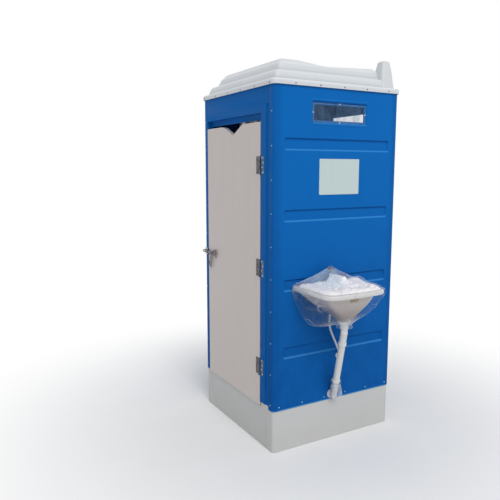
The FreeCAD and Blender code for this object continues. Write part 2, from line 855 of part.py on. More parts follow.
def front_frame():
    body = new_body("front_frame")
    right = new_sketch(body, "XY_Plane", "jamb_foot")
    polygon(right, [
        ("opening_right", "-door_plane"), ("opening_right + bead_wide", "-door_plane"),
        ("opening_right + bead_wide", "-shell_deep"), ("wrap_edge + lap_flange", "-shell_deep"),
        ("wrap_edge + lap_flange", "skin - shell_deep"), ("opening_right + bead_wide - skin", "skin - shell_deep"),
        ("opening_right + bead_wide - skin", "skin - door_plane"), ("opening_right + skin", "skin - door_plane"),
        ("opening_right + skin", "lip_thick - stop_plane"), ("opening_right - lip_side", "lip_thick - stop_plane"),
        ("opening_right - lip_side", "-stop_plane"), ("opening_right", "-stop_plane"),
    ])
    pad(body, right, "opening_top + bead_high - jamb_foot")
    header = new_sketch(body, "YZ_Plane", "-opening_left - skin")
    polygon(header, [
        ("-door_plane", "opening_top"), ("-door_plane", "opening_top + bead_high"),
        ("skin - shell_deep", "opening_top + bead_high"), ("skin - shell_deep", "opening_top + bead_high - skin"),
        ("skin - door_plane", "opening_top + bead_high - skin"), ("skin - door_plane", "opening_top + skin"),
        ("lip_thick - stop_plane", "opening_top + skin"), ("lip_thick - stop_plane", "opening_top - lip_top"),
        ("-stop_plane", "opening_top - lip_top"), ("-stop_plane", "opening_top"),
    ])
    pad(body, header, "opening_left + opening_right + bead_wide + skin")
    left = new_sketch(body, "XY_Plane", "jamb_foot")
    polygon(left, [
        ("-opening_left", "-door_plane"), ("-opening_left", "-stop_plane"),
        ("lip_side - opening_left", "-stop_plane"), ("lip_side - opening_left", "lip_thick - stop_plane"),
        ("-opening_left - skin", "lip_thick - stop_plane"), ("-opening_left - skin", "skin - shell_deep"),
        ("-wrap_edge - lap_flange", "skin - shell_deep"), ("-wrap_edge - lap_flange", "-shell_deep"),
        ("-opening_left - skin", "-shell_deep"), ("-opening_left - skin", "-door_plane"),
    ])
    pad(body, left, "opening_top + bead_high - jamb_foot")
    plate = new_sketch(body, "XZ_Plane", "half_deep")
    rectangle(plate, ("seat - wrap_edge", "wrap_edge - seat"), ("opening_top + bead_high", "wall_top"))
    pad(body, plate, "skin + seat", back=True)
    lap = new_sketch(body, "XZ_Plane", "shell_deep")
    rectangle(lap, ("-wrap_edge - lap_flange", "wrap_edge + lap_flange"), ("opening_top + bead_high", "wall_top"))
    pad(body, lap, "skin", back=True)


# Window panes, screwed into their recesses

def window_panes():
    """A pane and its four screws on the right, left and back walls."""
    half_long = "(window_long / 2 - pane_play)"
    half_high = "(window_high / 2 - pane_play)"
    high = ("window_mid - %s" % half_high, "window_mid + %s" % half_high)
    along = ("pane_play - window_long / 2", half_long)
    seat_side = ("half_wide - window_deep", "half_wide - window_deep + pane_thick")
    seat_back = ("half_deep - window_deep", "half_deep - window_deep + pane_thick")
    keep(box(seat_side, along, high), "window_pane_right")
    keep(box(("-half_wide + window_deep - pane_thick", "window_deep - half_wide"), along, high), "window_pane_left")
    keep(box(along, seat_back, high), "window_pane_back")
    side_in = "(window_long + glass_long) / 4"
    top_in = "(window_high + glass_high) / 4"
    screws = []
    for across, up in ((side_in, "0"), ("-" + side_in, "0"), ("0", top_in), ("0", "-" + top_in)):
        height = "window_mid + (%s)" % up
        screws.append(head("x", "screw_radius", "screw_high", (seat_side[1], across, height)))
        screws.append(head("-x", "screw_radius", "screw_high", ("-(%s)" % seat_side[1], across, height)))
        screws.append(head("y", "screw_radius", "screw_high", (across, seat_back[1], height)))
    keep(group(screws), "window_screws")


# Roof: one moulding of stepped bands with a raised front field and a vent tower over the rear right corner

def roof_shell():
    bands = [
        ("0", "flange_rise"), ("cove_run", "cove_rise"), ("band_run", "band_rise"),
        ("shoulder_run", "shoulder_rise"), ("upper_run", "upper_rise"), ("brow_run", "brow_rise"),
        ("crown_run", "crown_rise"),
    ]
    reach = value("flange_reach")
    high = value("flange_foot")
    levels = [(reach, high)]
    for run, rise in bands:
        reach = reach - value(run)
        high = high + value(rise)
        levels.append((reach, high))
    half_wide, half_deep, skin = value("half_wide"), value("half_deep"), value("roof_skin")
    middle = (0, 0)

    def level(reach, high, inset=0):
        """Rounded square outside the walls by a reach; the bands above the flange have softer corners."""
        corner = value("corner_round") + reach if reach >= 0 else value("roof_round") - inset
        return square_plan(middle, (half_wide + reach, half_deep + reach), high, corner)

    outside = loft([level(*entry) for entry in levels])
    seat = value("seat")
    inner = [(seat, high_low) for high_low in (levels[0][1] - skin, levels[1][1] - skin)]
    inner += [(reach - skin, high - skin) for reach, high in levels[2:]]
    inside = loft([level(*entry, skin) for entry in inner])
    crown = levels[-2][1]
    edge, rise, side = value("plateau_edge"), value("plateau_rise"), value("plateau_side")
    soft = value("plateau_round")

    front = edge - half_deep
    rear = front + value("plateau_long")

    def field(inset=0):
        """Raised field from under the skin to its flat top, with a long fall to the rear."""
        rings = []
        for climb in (-skin / rise, 1):
            half = half_wide - edge - side * climb - inset
            ends = (front + side * climb + inset, rear - value("plateau_fall") * climb - inset)
            rings.append(plan((-half, half), ends, crown + rise * climb - inset, soft, soft))
        return loft(rings)

    half = value("tower_wide") / 2
    spot = (value("vent_x"), value("vent_y"))
    taper, round_top = value("tower_taper"), value("tower_round")
    top, foot = value("tower_top"), levels[2][1]

    def tower(half_size, high):
        return square_plan(spot, (half_size, half_size), high, half_size * 0.45)

    rings = [(half, foot), (half - taper, top - round_top), (half - taper - round_top * 0.3, top - round_top * 0.3),
             (half - taper - round_top, top)]
    tower_out = loft([tower(size_here, z) for size_here, z in rings])
    tower_in = loft([tower(size_here - skin, z - (skin if z > foot else 0)) for size_here, z in rings])
    slots = []
    for index in range(int(value("tower_slots"))):
        low = top - round_top - (index + 1) * 3 * skin
        slots.append(Part.makeBox(half, taper + 3 * skin, skin,
                                  Vector(spot[0] - half / 2, spot[1] + half - taper - 2 * skin, low)))
    shell = outside.fuse([field(), tower_out]).cut(inside.fuse([field(skin), tower_in])).cut(slots)
    made(shell.removeSplitter(), "roof_shell")


# Rivets round the roof flange, the plinth and the front corners

def along(low, high, count, index):
    """Formula for one of evenly spread places between two limits."""
    return "(%s) + ((%s) - (%s)) * %d / %d" % (low, high, low, index, count - 1)


def rivets():
    roof = []
    flange = "flange_foot + seat + rivet_lift"
    count = int(value("rivet_count"))
    for index in range(count):
        x = along("rivet_margin - half_wide", "half_wide - rivet_margin", count, index)
        roof.append(head("-y", "rivet_radius", "rivet_high", (x, "-half_deep - flange_reach", flange)))
        roof.append(head("y", "rivet_radius", "rivet_high", (x, "half_deep + flange_reach", flange)))
    side_count = int(value("side_rivet_count"))
    for index in range(side_count):
        y = along("side_rivet_first - half_deep", "half_deep - side_rivet_last", side_count, index)
        roof.append(head("x", "rivet_radius", "rivet_high", ("half_wide + flange_reach", y, flange)))
        roof.append(head("-x", "rivet_radius", "rivet_high", ("-half_wide - flange_reach", y, flange)))
    keep(group(roof), "roof_rivets")
    foot = []
    low = "wall_foot + rivet_end"
    for index in range(count):
        x = along("rivet_margin - half_wide", "half_wide - rivet_margin", count, index)
        y = along("rivet_front - half_deep", "half_deep - rivet_margin", count, index)
        foot.append(head("x", "rivet_radius", "rivet_high", ("half_wide", y, low)))
        foot.append(head("-x", "rivet_radius", "rivet_high", ("-half_wide", y, low)))
        foot.append(head("y", "rivet_radius", "rivet_high", (x, "half_deep", low)))
    keep(group(foot), "plinth_rivets")
    corner = []
    corner_count = int(value("corner_rivets_count"))
    for index in range(corner_count):
        z = along("wall_foot + corner_rivet_first", "opening_top", corner_count, index)
        for side in ("", "-"):
            x = "%s(wrap_edge + rivet_end)" % side
            corner.append(head("-y", "rivet_radius", "rivet_high", (x, "-half_deep", z)))
            corner.append(head("y", "rivet_radius", "rivet_high", (x, "half_deep", z)))
    keep(group(corner), "corner_rivets")


# Squat pan, its trap and the soil and vent pipes

def squat_pan():
    middle = value("pan_middle")
    top = value("floor_top + seat + pan_rim")
    wall = value("pan_wall")
    half_wide, half_long = value("bowl_wide / 2"), value("bowl_long / 2")
    deep = value("bowl_floor")
    outlet = value("bowl_outlet")
    back = middle + value("outlet_back")
    rim = square_plan((0, middle), (value("pan_wide / 2"), value("pan_long / 2")), value("floor_top + seat"),
                      value("pan_round"))
    slab = Part.Face(rim).extrude(Vector(0, 0, value("pan_rim")))

    def bowl(grow, lift):
        rings = []
        for share, shrink in ((0, 0), (0.35, 0.12), (0.7, 0.38)):
            wide = half_wide * (1 - shrink) + grow
            long = half_long * (1 - shrink) + grow
            place = (0, middle + value("outlet_back") * shrink)
            rings.append(square_plan(place, (wide, long), top - share * deep + lift, min(wide, long) * 0.92))
        end = outlet + grow
        rings.append(square_plan((0, back), (end, end), top - deep - grow, end * 0.98))
        return rings

    outer = loft(bowl(wall, 0))
    inner = loft(bowl(0, 0.5))
    spigot = Part.makeCylinder(outlet + wall, wall * 2, Vector(0, back, top - deep - wall * 2))
    bore = Part.makeCylinder(outlet, wall * 4, Vector(0, back, top - deep - wall * 3))
    horn_y = middle + half_long + value("flush_radius") * 1.5
    horn = Part.makeBox(value("flush_radius * 4"), value("flush_radius * 3"), value("flush_radius * 1.6"),
                        Vector(value("-flush_radius * 2"), horn_y - value("flush_radius * 1.5"), top))
    horn_bore = Part.makeCylinder(value("flush_radius + seat"), value("flush_radius") * 1.6,
                                  Vector(0, horn_y, top + wall / 2))
    horn_way = Part.makeBox(value("flush_radius * 1.4"), value("flush_radius * 2.2"), wall,
                            Vector(value("-flush_radius * 0.7"), horn_y - value("flush_radius * 2.2"), top + wall / 2))
    treads = []
    for side in (-1, 1):
        x = side * (half_wide + wall + value("tread_inset + tread_wide / 2"))
        start = middle - value("tread_long / 2")
        pitch = value("tread_long") / int(value("tread_ribs"))
        for index in range(int(value("tread_ribs"))):
            treads.append(Part.makeBox(value("tread_wide"), pitch * 0.6, value("tread_high"),
                                       Vector(x - value("tread_wide / 2"), start + index * pitch, top)))
    pan = slab.fuse([outer, spigot, horn] + treads).cut([inner, bore, horn_bore, horn_way])
    made(pan.removeSplitter(), "squat_pan")


def soil_pipe():
    """Trap bend from the pan's spigot to a spigot behind the plinth, with the vent's branch along the back."""
    back = value("pan_middle + outlet_back")
    radius, wall = value("soil_radius"), value("soil_wall")
    mid = value("soil_mid")
    collar = value("floor_top + pan_rim - bowl_floor - pan_wall")
    socket = value("bowl_outlet + pan_wall + seat")
    shoulder = value("half_deep + shoulder_out")
    end = value("half_deep + shoulder_out + soil_reach")
    down = Part.makeCylinder(socket + wall, collar - mid, Vector(0, back, mid))
    run = Part.makeCylinder(value("soil_radius + soil_collar"), shoulder - back, Vector(0, back, mid), Vector(0, 1, 0))
    spigot = Part.makeCylinder(radius, end - shoulder, Vector(0, shoulder, mid), Vector(0, 1, 0))
    knee = Part.makeSphere(socket + wall, Vector(0, back, mid))
    branch_reach = value("vent_x - vent_radius - seat")
    branch = Part.makeCylinder(value("vent_radius"), branch_reach, Vector(0, value("vent_y"), mid), Vector(1, 0, 0))
    inside = [
        Part.makeCylinder(socket, collar - mid, Vector(0, back, mid)),
        Part.makeCylinder(radius - wall, end - back, Vector(0, back, mid), Vector(0, 1, 0)),
        Part.makeSphere(socket, Vector(0, back, mid)),
        Part.makeCylinder(value("vent_radius - vent_wall"), branch_reach, Vector(0, value("vent_y"), mid),
                          Vector(1, 0, 0)),
    ]
    made(down.fuse([run, spigot, knee, branch]).cut(inside), "soil_pipe")


def vent_pipe():
    """Upright vent from the branch beside the soil pipe up into the roof tower."""
    spot = ("vent_x", "vent_y")
    foot = "soil_mid - vent_radius - vent_wall"
    outside = rod("z", "vent_radius", "tower_top - 3 * tower_round - (%s)" % foot, spot + (foot,))
    bore = rod("z", "vent_radius - vent_wall", "tower_top", spot + ("soil_mid - vent_radius",))
    branch = rod("-x", "vent_radius - vent_wall", "2 * vent_radius", spot + ("soil_mid",))
    drain = rod("-y", "waste_radius - vent_wall", "2 * vent_radius", spot + ("soil_mid",))
    keep(cut(outside, [bore, branch, drain]), "vent_pipe")
    clips = []
    for low in ("clip_low", "clip_top"):
        ring = rod("z", "vent_radius + seat + vent_wall", "clip_wide", spot + (low,))
        hole = rod("z", "vent_radius + seat", "clip_wide", spot + (low,))
        foot_block = box(("vent_x - clip_wide / 2", "vent_x + clip_wide / 2"),
                         ("vent_y + vent_radius", "shell_deep"), (low, low + " + clip_wide"))
        clips.append(cut(fuse([ring, foot_block]), [hole]))
    keep(group(clips), "vent_clips")


# Cistern, its lid, lever and flush pipe

def cistern():
    body = new_body("cistern_tank")
    outline = new_sketch(body, "XY_Plane", "cistern_foot")
    rounded(outline, ("cistern_taper - cistern_wide / 2", "cistern_wide / 2 - cistern_taper"),
            ("shell_deep - cistern_deep", "shell_deep"), "cistern_taper + lid_lap")
    tank = pad(body, outline, "cistern_high")
    names = edges_near(tank, lambda p: abs(p.z - value("cistern_foot")) < 0.01)
    round_edges(body, tank, names, "cistern_taper - lid_lap / 2")
    room = new_sketch(body, "XY_Plane", "cistern_foot + skin")
    rounded(room, ("cistern_taper + skin - cistern_wide / 2", "cistern_wide / 2 - cistern_taper - skin"),
            ("shell_deep - cistern_deep + skin", "shell_deep - skin"), "cistern_taper + lid_lap - skin")
    pocket(body, room, "cistern_high", back=True)
    lid = new_body("cistern_lid")
    top = new_sketch(lid, "XY_Plane", "cistern_foot + cistern_high")
    rounded(top, ("cistern_taper - lid_lap - cistern_wide / 2", "cistern_wide / 2 - cistern_taper + lid_lap"),
            ("shell_deep - cistern_deep - lid_lap", "shell_deep"), "cistern_taper + 2 * lid_lap")
    cover = pad(lid, top, "lid_high")
    names = edges_near(cover, lambda p: abs(p.z - value("cistern_foot + cistern_high + lid_high")) < 0.01)
    round_edges(lid, cover, names, "lid_high / 3")
    pipe_y = value("shell_deep - cistern_deep / 2")
    horn_y = value("pan_middle + bowl_long / 2 + flush_radius * 1.5")
    pan_top = value("floor_top + seat + pan_rim")
    knee = 2 * (pipe_y - horn_y)
    route = [Vector(0, pipe_y, value("cistern_foot - seat")), Vector(0, pipe_y, pan_top + knee),
             Vector(0, horn_y, pan_top + knee / 2), Vector(0, horn_y, pan_top + value("pan_wall / 2 + seat"))]
    radius = value("flush_radius")
    outside = straight_pipe(route, radius)
    inside = straight_pipe(route, radius - value("flush_wall"))
    made(outside.cut(inside), "flush_pipe")
    lever_x = "lever_inset + cistern_taper - cistern_wide / 2"
    lever_z = "cistern_foot + cistern_high - lever_drop"
    front = "shell_deep - cistern_deep - seat"
    boss = rod("-y", "lever_boss", "lever_stand", (lever_x, front, lever_z))
    arm = box((lever_x, "(%s) + lever_long" % lever_x),
              ("(%s) - lever_stand" % front, "(%s) - lever_stand + lever_thick" % front),
              ("(%s) - lever_high / 2" % lever_z, "(%s) + lever_high / 2" % lever_z))
    tip = rod("-y", "lever_tip", "lever_thick + 2", ("(%s) + lever_long" % lever_x,
                                                     "(%s) - lever_stand + lever_thick + 1" % front, lever_z))
    keep(fuse([boss, arm, tip]), "flush_lever")


# Wash basin on the right wall with its pillar tap, waste and hose

def basin_ring(near, far, half, z, near_round, far_round, front_round):
    """Level D-shaped outline: a straight back, straight sides, and a front of three tangent arcs."""
    mid = -value("basin_mid")
    run = math.sqrt((front_round - far_round) ** 2 - (half - far_round) ** 2)
    centre_x, centre_y = far - front_round + run, half - far_round
    lean = math.atan2(centre_y, run)
    half_turn = (math.pi / 2 + lean) / 2
    diagonal = near_round * (1 - math.sqrt(0.5))

    def on_corner(angle, side):
        return Vector(centre_x + far_round * math.cos(angle),
                      mid + side * (centre_y + far_round * math.sin(angle)), z)

    def spot(x, y):
        return Vector(x, mid + y, z)

    curves = [
        Part.LineSegment(spot(near + near_round, -half), spot(centre_x, -half)),
        Part.Arc(spot(centre_x, -half), on_corner(half_turn, -1), on_corner(lean, -1)),
        Part.Arc(on_corner(lean, -1), spot(far, 0), on_corner(lean, 1)),
        Part.Arc(on_corner(lean, 1), on_corner(half_turn, 1), spot(centre_x, half)),
        Part.LineSegment(spot(centre_x, half), spot(near + near_round, half)),
        Part.Arc(spot(near + near_round, half), spot(near + diagonal, half - diagonal),
                 spot(near, half - near_round)),
        Part.LineSegment(spot(near, half - near_round), spot(near, near_round - half)),
        Part.Arc(spot(near, near_round - half), spot(near + diagonal, diagonal - half),
                 spot(near + near_round, -half)),
    ]
    return Part.Wire([curve.toShape() for curve in curves])


def wash_basin():
    """Basin lofted from its rim to the waste outside, and from the rim to the bowl's floor inside."""
    wall_x = value("half_wide + seat")
    mid, top, edge, drop = value("basin_mid"), value("basin_top"), value("basin_edge"), value("basin_drop")
    waste_x = wall_x + value("waste_x")

    def ring(share, z, back, side, small, near_round):
        """Outline a share of the way from the rim, set in by a margin, to a round foot at the waste."""
        def blend(rim, foot):
            return rim * (1 - share) + foot * share

        return basin_ring(blend(wall_x + back, waste_x - small),
                          blend(wall_x + value("basin_reach") - side, waste_x + small),
                          blend(value("basin_half") - side, small), z, blend(near_round, small * 0.8),
                          blend(value("basin_corner") - side * 0.6, small * 0.8),
                          blend(value("basin_front") - side, small * 1.3))

    levels = int(value("basin_levels"))
    foot = value("waste_hole + 2 * basin_wall")
    step_in, under = value("basin_step"), value("pane_thick")
    outer = [ring(0, top, 0, 0, foot, step_in), ring(0, top - edge, 0, 0, foot, step_in)]
    for index in range(levels + 1):
        fall = index / levels
        share = fall ** 1.45
        high = top - edge - under - (drop - edge - under) * fall
        outer.append(ring(share, high, 0, step_in * (1 - fall), foot, step_in))
    rim, deck, deep = value("basin_rim"), value("tap_deck"), value("bowl_deep")
    floor = value("waste_hole + basin_wall")
    inner = [ring(0, top + 1, deck, rim, floor, 4 * step_in)]
    for index in range(1, levels + 1):
        angle = math.pi / 2 * index / levels
        inner.append(ring(1 - math.cos(angle), top - deep * math.sin(angle), deck, rim, floor, 4 * step_in))
    apron = Part.makeBox(value("basin_wall"), value("2 * apron_half"), value("apron_high - basin_edge / 2"),
                         Vector(wall_x, -mid - value("apron_half"), top - value("apron_high")))
    waste = Part.makeCylinder(value("waste_hole"), drop, Vector(waste_x, -mid, top - drop - 1))
    tap_spot = Vector(wall_x + value("tap_inset"), -mid, 0)
    tap_hole = Part.makeCylinder(value("tap_radius - seat"), drop, tap_spot + Vector(0, 0, top - drop + edge))
    tap_room = Part.makeCylinder(value("2 * tap_radius"), drop, tap_spot + Vector(0, 0, top - drop - 1.5 * edge))
    holes = [waste, tap_hole, tap_room, loft(inner)]
    for side in (-1, 1):
        spot = Vector(wall_x - 1, -mid + side * value("hanger_half"), top - value("hanger_drop"))
        holes.append(Part.makeCylinder(value("hanger_radius + seat"), value("3 * basin_wall"), spot, Vector(1, 0, 0)))
    made(loft(outer).fuse(apron).cut(holes).removeSplitter(), "wash_basin")


def basin_fixings():
    """Two hanger bolts through the wall, each with a nut inside the cabin and one under the rim."""
    bolts = []
    for side in ("-", "+"):
        spot = ("-basin_mid %s hanger_half" % side, "basin_top - hanger_drop")
        shank = rod("x", "hanger_radius", "strip_deep + seat + basin_wall + 2 * skin",
                    ("half_wide - strip_deep",) + spot)
        inside = rod("x", "2 * hanger_radius", "skin", ("half_wide - 2 * skin - seat",) + spot)
        outside = rod("x", "1.6 * hanger_radius", "1.5 * skin", ("half_wide + 2 * seat + basin_wall",) + spot)
        bolts.append(fuse([shank, inside, outside]))
    keep(group(bolts), "basin_bolts")


def pillar_tap():
    x, y = "half_wide + seat + tap_inset", "-basin_mid"
    top = "basin_top"
    flange = rod("z", "1.7 * tap_radius", "skin + seat", (x, y, top))
    column = rod("z", "tap_radius", "tap_high", (x, y, top))
    spout = rod("x", "0.7 * tap_radius", "tap_spout", (x, y, top + " + 0.68 * tap_high"))
    elbow = ball("0.7 * tap_radius", (x + " + tap_spout", y, top + " + 0.68 * tap_high"))
    nozzle = rod("-z", "0.7 * tap_radius", "tap_high / 3", (x + " + tap_spout", y, top + " + 0.68 * tap_high"))
    tail = rod("-z", "tap_radius - 2 * seat", "tap_tail", (x, y, top))
    nut = rod("-z", "1.6 * tap_radius", "2 * skin", (x, y, top + " - 1.5 * basin_edge - seat"))
    keep(fuse([flange, column, spout, elbow, nozzle, tail, nut]), "pillar_tap")
    foot = top + " + tap_high + seat"
    stem = rod("z", "0.6 * tap_radius", "tap_knob_high / 3", (x, y, foot))
    grip = rod("z", "1.35 * tap_radius", "tap_knob_high * 2 / 3", (x, y, foot + " + tap_knob_high / 3"))
    flutes = []
    for index in range(6):
        angle = math.radians(60 * index)
        flutes.append(rod("z", "0.4 * tap_radius", "tap_knob_high",
                          ("%s + 1.55 * tap_radius * %.4f" % (x, math.cos(angle)),
                           "%s + 1.55 * tap_radius * %.4f" % (y, math.sin(angle)), foot)))
    keep(cut(fuse([stem, grip]), flutes), "tap_knob")


def basin_waste():
    x, y = "half_wide + seat + waste_x", "-basin_mid"
    floor = "basin_top - bowl_deep"
    under = "basin_top - basin_drop"
    flange = rod("z", "waste_hole + basin_wall / 2", "pane_thick", (x, y, floor + " + seat"))
    tail = rod("z", "waste_hole - seat", "basin_drop - bowl_deep + waste_tail + 2 * seat", (x, y, under + " - waste_tail"))
    nut = rod("-z", "1.5 * waste_hole", "3 * skin", (x, y, under + " - seat"))
    bore = rod("z", "waste_hole - skin", "basin_drop + waste_tail", (x, y, under + " - waste_tail"))
    keep(cut(fuse([flange, tail, nut]), [bore]), "waste_coupling")
    start = at(x, y, under + " - waste_tail - seat")
    knee = start - Vector(0, 0, value("waste_radius + 2 * ring_proud"))
    foot = at("half_wide + waste_foot_out", "waste_y", "waste_foot")
    wall = at("half_wide + seat", "waste_y", "waste_foot")
    radius = value("waste_radius")
    route = [start, knee, foot, wall]
    lean = (foot - knee).normalize()
    collars = []
    for distance in ("ring_first", "ring_second"):
        spot = knee + lean * value(distance)
        collars.append(Part.makeCylinder(radius + value("ring_proud"), value("ring_wide"), spot, lean))
    rosette = Part.makeCylinder(radius + 2 * value("ring_proud"), value("ring_proud"), wall, Vector(1, 0, 0))
    outside = straight_pipe(route, radius, 1).fuse(collars + [rosette])
    made(outside.cut(straight_pipe(route, radius - value("vent_wall"), 1)), "waste_pipe")
    inner_wall = at("half_wide", "waste_y", "waste_foot")
    turn = at("drain_x", "drain_y", "waste_foot")
    low = at("drain_x", "drain_y", "soil_mid")
    end = at("drain_x", "vent_y - vent_radius - seat", "soil_mid")
    route = [inner_wall, turn, low, end]
    outside = straight_pipe(route, radius, 1)
    made(outside.cut(straight_pipe(route, radius - value("vent_wall"), 1)), "drain_pipe")


def basin_hose():
    """Hose from the tap's tail down to the elbow on the wall, as straight runs joined by tangent arcs."""
    top = at("half_wide + seat + tap_inset", "-basin_mid", "basin_top - tap_tail - seat")
    port = at("half_wide + hose_port_out", "hose_y", "hose_port_high + hose_port_rise + seat")
    fall, slack = value("hose_fall"), value("hose_slack")
    points = [top, top + Vector(0, 0, -fall), top + Vector(-8, 10, -fall - 70), port + Vector(20, -38, slack),
              port + Vector(0, 0, slack - 68), port]
    radii = []
    for before, corner, after in zip(points, points[1:], points[2:]):
        back, ahead = before - corner, after - corner
        half_turn = (math.pi - back.getAngle(ahead)) / 2
        radii.append(0.45 * min(back.Length, ahead.Length) / math.tan(half_turn))
    path = bent_path(points, radii)
    hose = round_sweep(path, value("hose_radius"))
    section = math.pi * value("hose_radius") ** 2
    print("hose radii", [round(radius) for radius in radii], "volume", round(hose.Volume / section / path.Length, 4))
    made(hose, "basin_hose")
    wall = at("half_wide + seat", "hose_y", "hose_port_high")
    turn = at("half_wide + hose_port_out", "hose_y", "hose_port_high")
    elbow = straight_pipe([wall, turn, turn + Vector(0, 0, value("hose_port_rise"))], value("1.4 * hose_radius"))
    rosette = Part.makeCylinder(value("3 * hose_radius"), value("pane_thick"), wall, Vector(1, 0, 0))
    made(elbow.fuse(rosette), "hose_elbow")


# Water line inside the cabin: inlet behind, branches to the cistern, the basin and the bib tap

def water_line():
    radius = value("water_radius")
    back_y = "inner_deep - water_stand"
    side_x = "inner_wide - water_stand"
    high = "water_high"
    inlet = Part.makeCylinder(radius, value("half_deep + seat - (%s)" % back_y),
                              at("water_inlet_x", back_y, high), Vector(0, 1, 0))
    flange = Part.makeCylinder(1.6 * radius, value("shoulder_out"), at("water_inlet_x", "half_deep + seat", high),
                               Vector(0, 1, 0))
    spigot = Part.makeCylinder(value("inlet_radius"), value("inlet_reach"),
                               at("water_inlet_x", "half_deep + seat + shoulder_out", high), Vector(0, 1, 0))
    to_basin = straight_pipe([
        at("water_inlet_x", back_y, high), at(side_x, back_y, high), at(side_x, "hose_y", high),
        at(side_x, "hose_y", "hose_port_high"), at("half_wide - strip_deep / 2", "hose_y", "hose_port_high"),
    ], radius, 2)
    riser_x = "cistern_wide / 2 - cistern_taper + 2 * water_stand"
    to_tank = straight_pipe([
        at("water_inlet_x", back_y, high), at(riser_x, back_y, high),
        at(riser_x, back_y, "cistern_foot + 2 * water_stand"),
        at("cistern_wide / 2 - cistern_taper + seat", back_y, "cistern_foot + 2 * water_stand"),
    ], radius, 2)
    port = Part.makeCylinder(value("hose_radius"), value("skin + strip_deep"),
                             at("half_wide - strip_deep - skin", "hose_y", "hose_port_high"), Vector(1, 0, 0))
    made(inlet.fuse([flange, spigot, to_basin, to_tank, port]), "water_pipe")
    clips = []
    for y in ("hose_y + 3 * water_stand", "bib_back + 3 * water_stand"):
        block = box(("inner_wide - water_stand - water_radius - skin", "inner_wide - seat"),
                    (y, y + " + clip_wide / 2"),
                    ("water_high - water_radius - skin", "water_high + water_radius + skin"))
        way = rod("y", "water_radius + seat", "clip_wide", (side_x, y + " - skin", "water_high"))
        clips.append(cut(block, [way]))
    keep(group(clips), "water_clips")
    bib_x = side_x + " - water_radius - seat"
    barrel = rod("-x", "water_radius", "bib_reach - water_radius", (bib_x, "bib_back", high))
    spout = rod("-z", "0.75 * water_radius", "3 * water_radius", (bib_x + " - bib_reach + 2 * water_radius",
                                                                   "bib_back", high))
    bonnet = rod("z", "0.8 * water_radius", "1.9 * water_radius", (bib_x + " - bib_reach / 2", "bib_back", high))
    keep(fuse([barrel, spout, bonnet]), "bib_tap")
    lever_foot = high + " + 1.9 * water_radius + seat"
    hub = rod("z", "0.8 * water_radius", "water_radius", (bib_x + " - bib_reach / 2", "bib_back", lever_foot))
    arm = box((bib_x + " - bib_reach", bib_x + " - bib_reach / 2"), ("bib_back - skin", "bib_back + skin"),
              (lever_foot + " + skin", lever_foot + " + water_radius"))
    keep(fuse([hub, arm]), "bib_lever")


# Door leaf: flush panel with a notched top edge

def door_leaf():
    body = new_body("door_leaf")
    outline = new_sketch(body, "XZ_Plane", "door_plane")
    polygon(outline, [
        ("-door_left", "door_foot"), ("door_right", "door_foot"), ("door_right", "door_top"),
        ("notch_half - notch_middle", "door_top"), ("-notch_middle", "door_top - notch_deep"),
        ("-notch_middle - notch_half", "door_top"), ("-door_left", "door_top"),
    ])
    feature = pad(body, outline, "door_thick", back=True)
    rounds = (("-notch_middle", "door_top - notch_deep", "notch_round"),
              ("notch_half - notch_middle", "door_top", "shoulder_right"),
              ("-notch_middle - notch_half", "door_top", "shoulder_left"))
    for x, z, radius in rounds:
        spot = (value(x), value(z))
        names = edges_near(feature, lambda p: abs(p.x - spot[0]) < 0.01 and abs(p.z - spot[1]) < 0.01)
        feature = round_edges(body, feature, names, radius)
    front = -value("door_plane")
    names = edges_near(feature, lambda p: abs(p.y - front) < 0.01)
    round_edges(body, feature, names, "door_edge")


# Butt hinges: leaf on the frame, leaf on the door, and a pin

HINGES = (("low", "hinge_low_mid"), ("mid", "hinge_mid_mid"), ("top", "hinge_top_mid"))


def hinge_leaf(node, middle, on_door):
    """Flat leaf with its share of the five knuckles; the door leaf has the second and fourth."""
    sign = "-" if on_door else "+"
    edges = ["hinge_axis_x %s (knuckle_radius + knuckle_gap + leaf_clear)" % sign,
             "hinge_axis_x %s (knuckle_radius + leaf_wide)" % sign]
    if on_door:
        edges.reverse()
    face = ("-door_plane - leaf_thick", "-door_plane")
    foot = "%s - hinge_high / 2" % middle
    parts = [box(tuple(edges), face, (foot, "%s + hinge_high / 2" % middle))]
    for index in ((1, 3) if on_door else (0, 2, 4)):
        low = "%s + %d * hinge_high / 5" % (foot, index) + (" + knuckle_gap" if on_door else "")
        tall = "hinge_high / 5" + (" - 2 * knuckle_gap" if on_door else "")
        parts.append(rod("z", "knuckle_radius", tall, ("hinge_axis_x", "-hinge_axis_y", low)))
        tab = ["hinge_axis_x", edges[1 if on_door else 0]]
        if on_door:
            tab.reverse()
        parts.append(box(tuple(tab), face, (low, "%s + %s" % (low, tall))))
    bore = rod("z", "pin_radius + pin_play", "hinge_high + 2", ("hinge_axis_x", "-hinge_axis_y", foot + " - 1"))
    keep(cut(fuse(parts), [bore]), node)


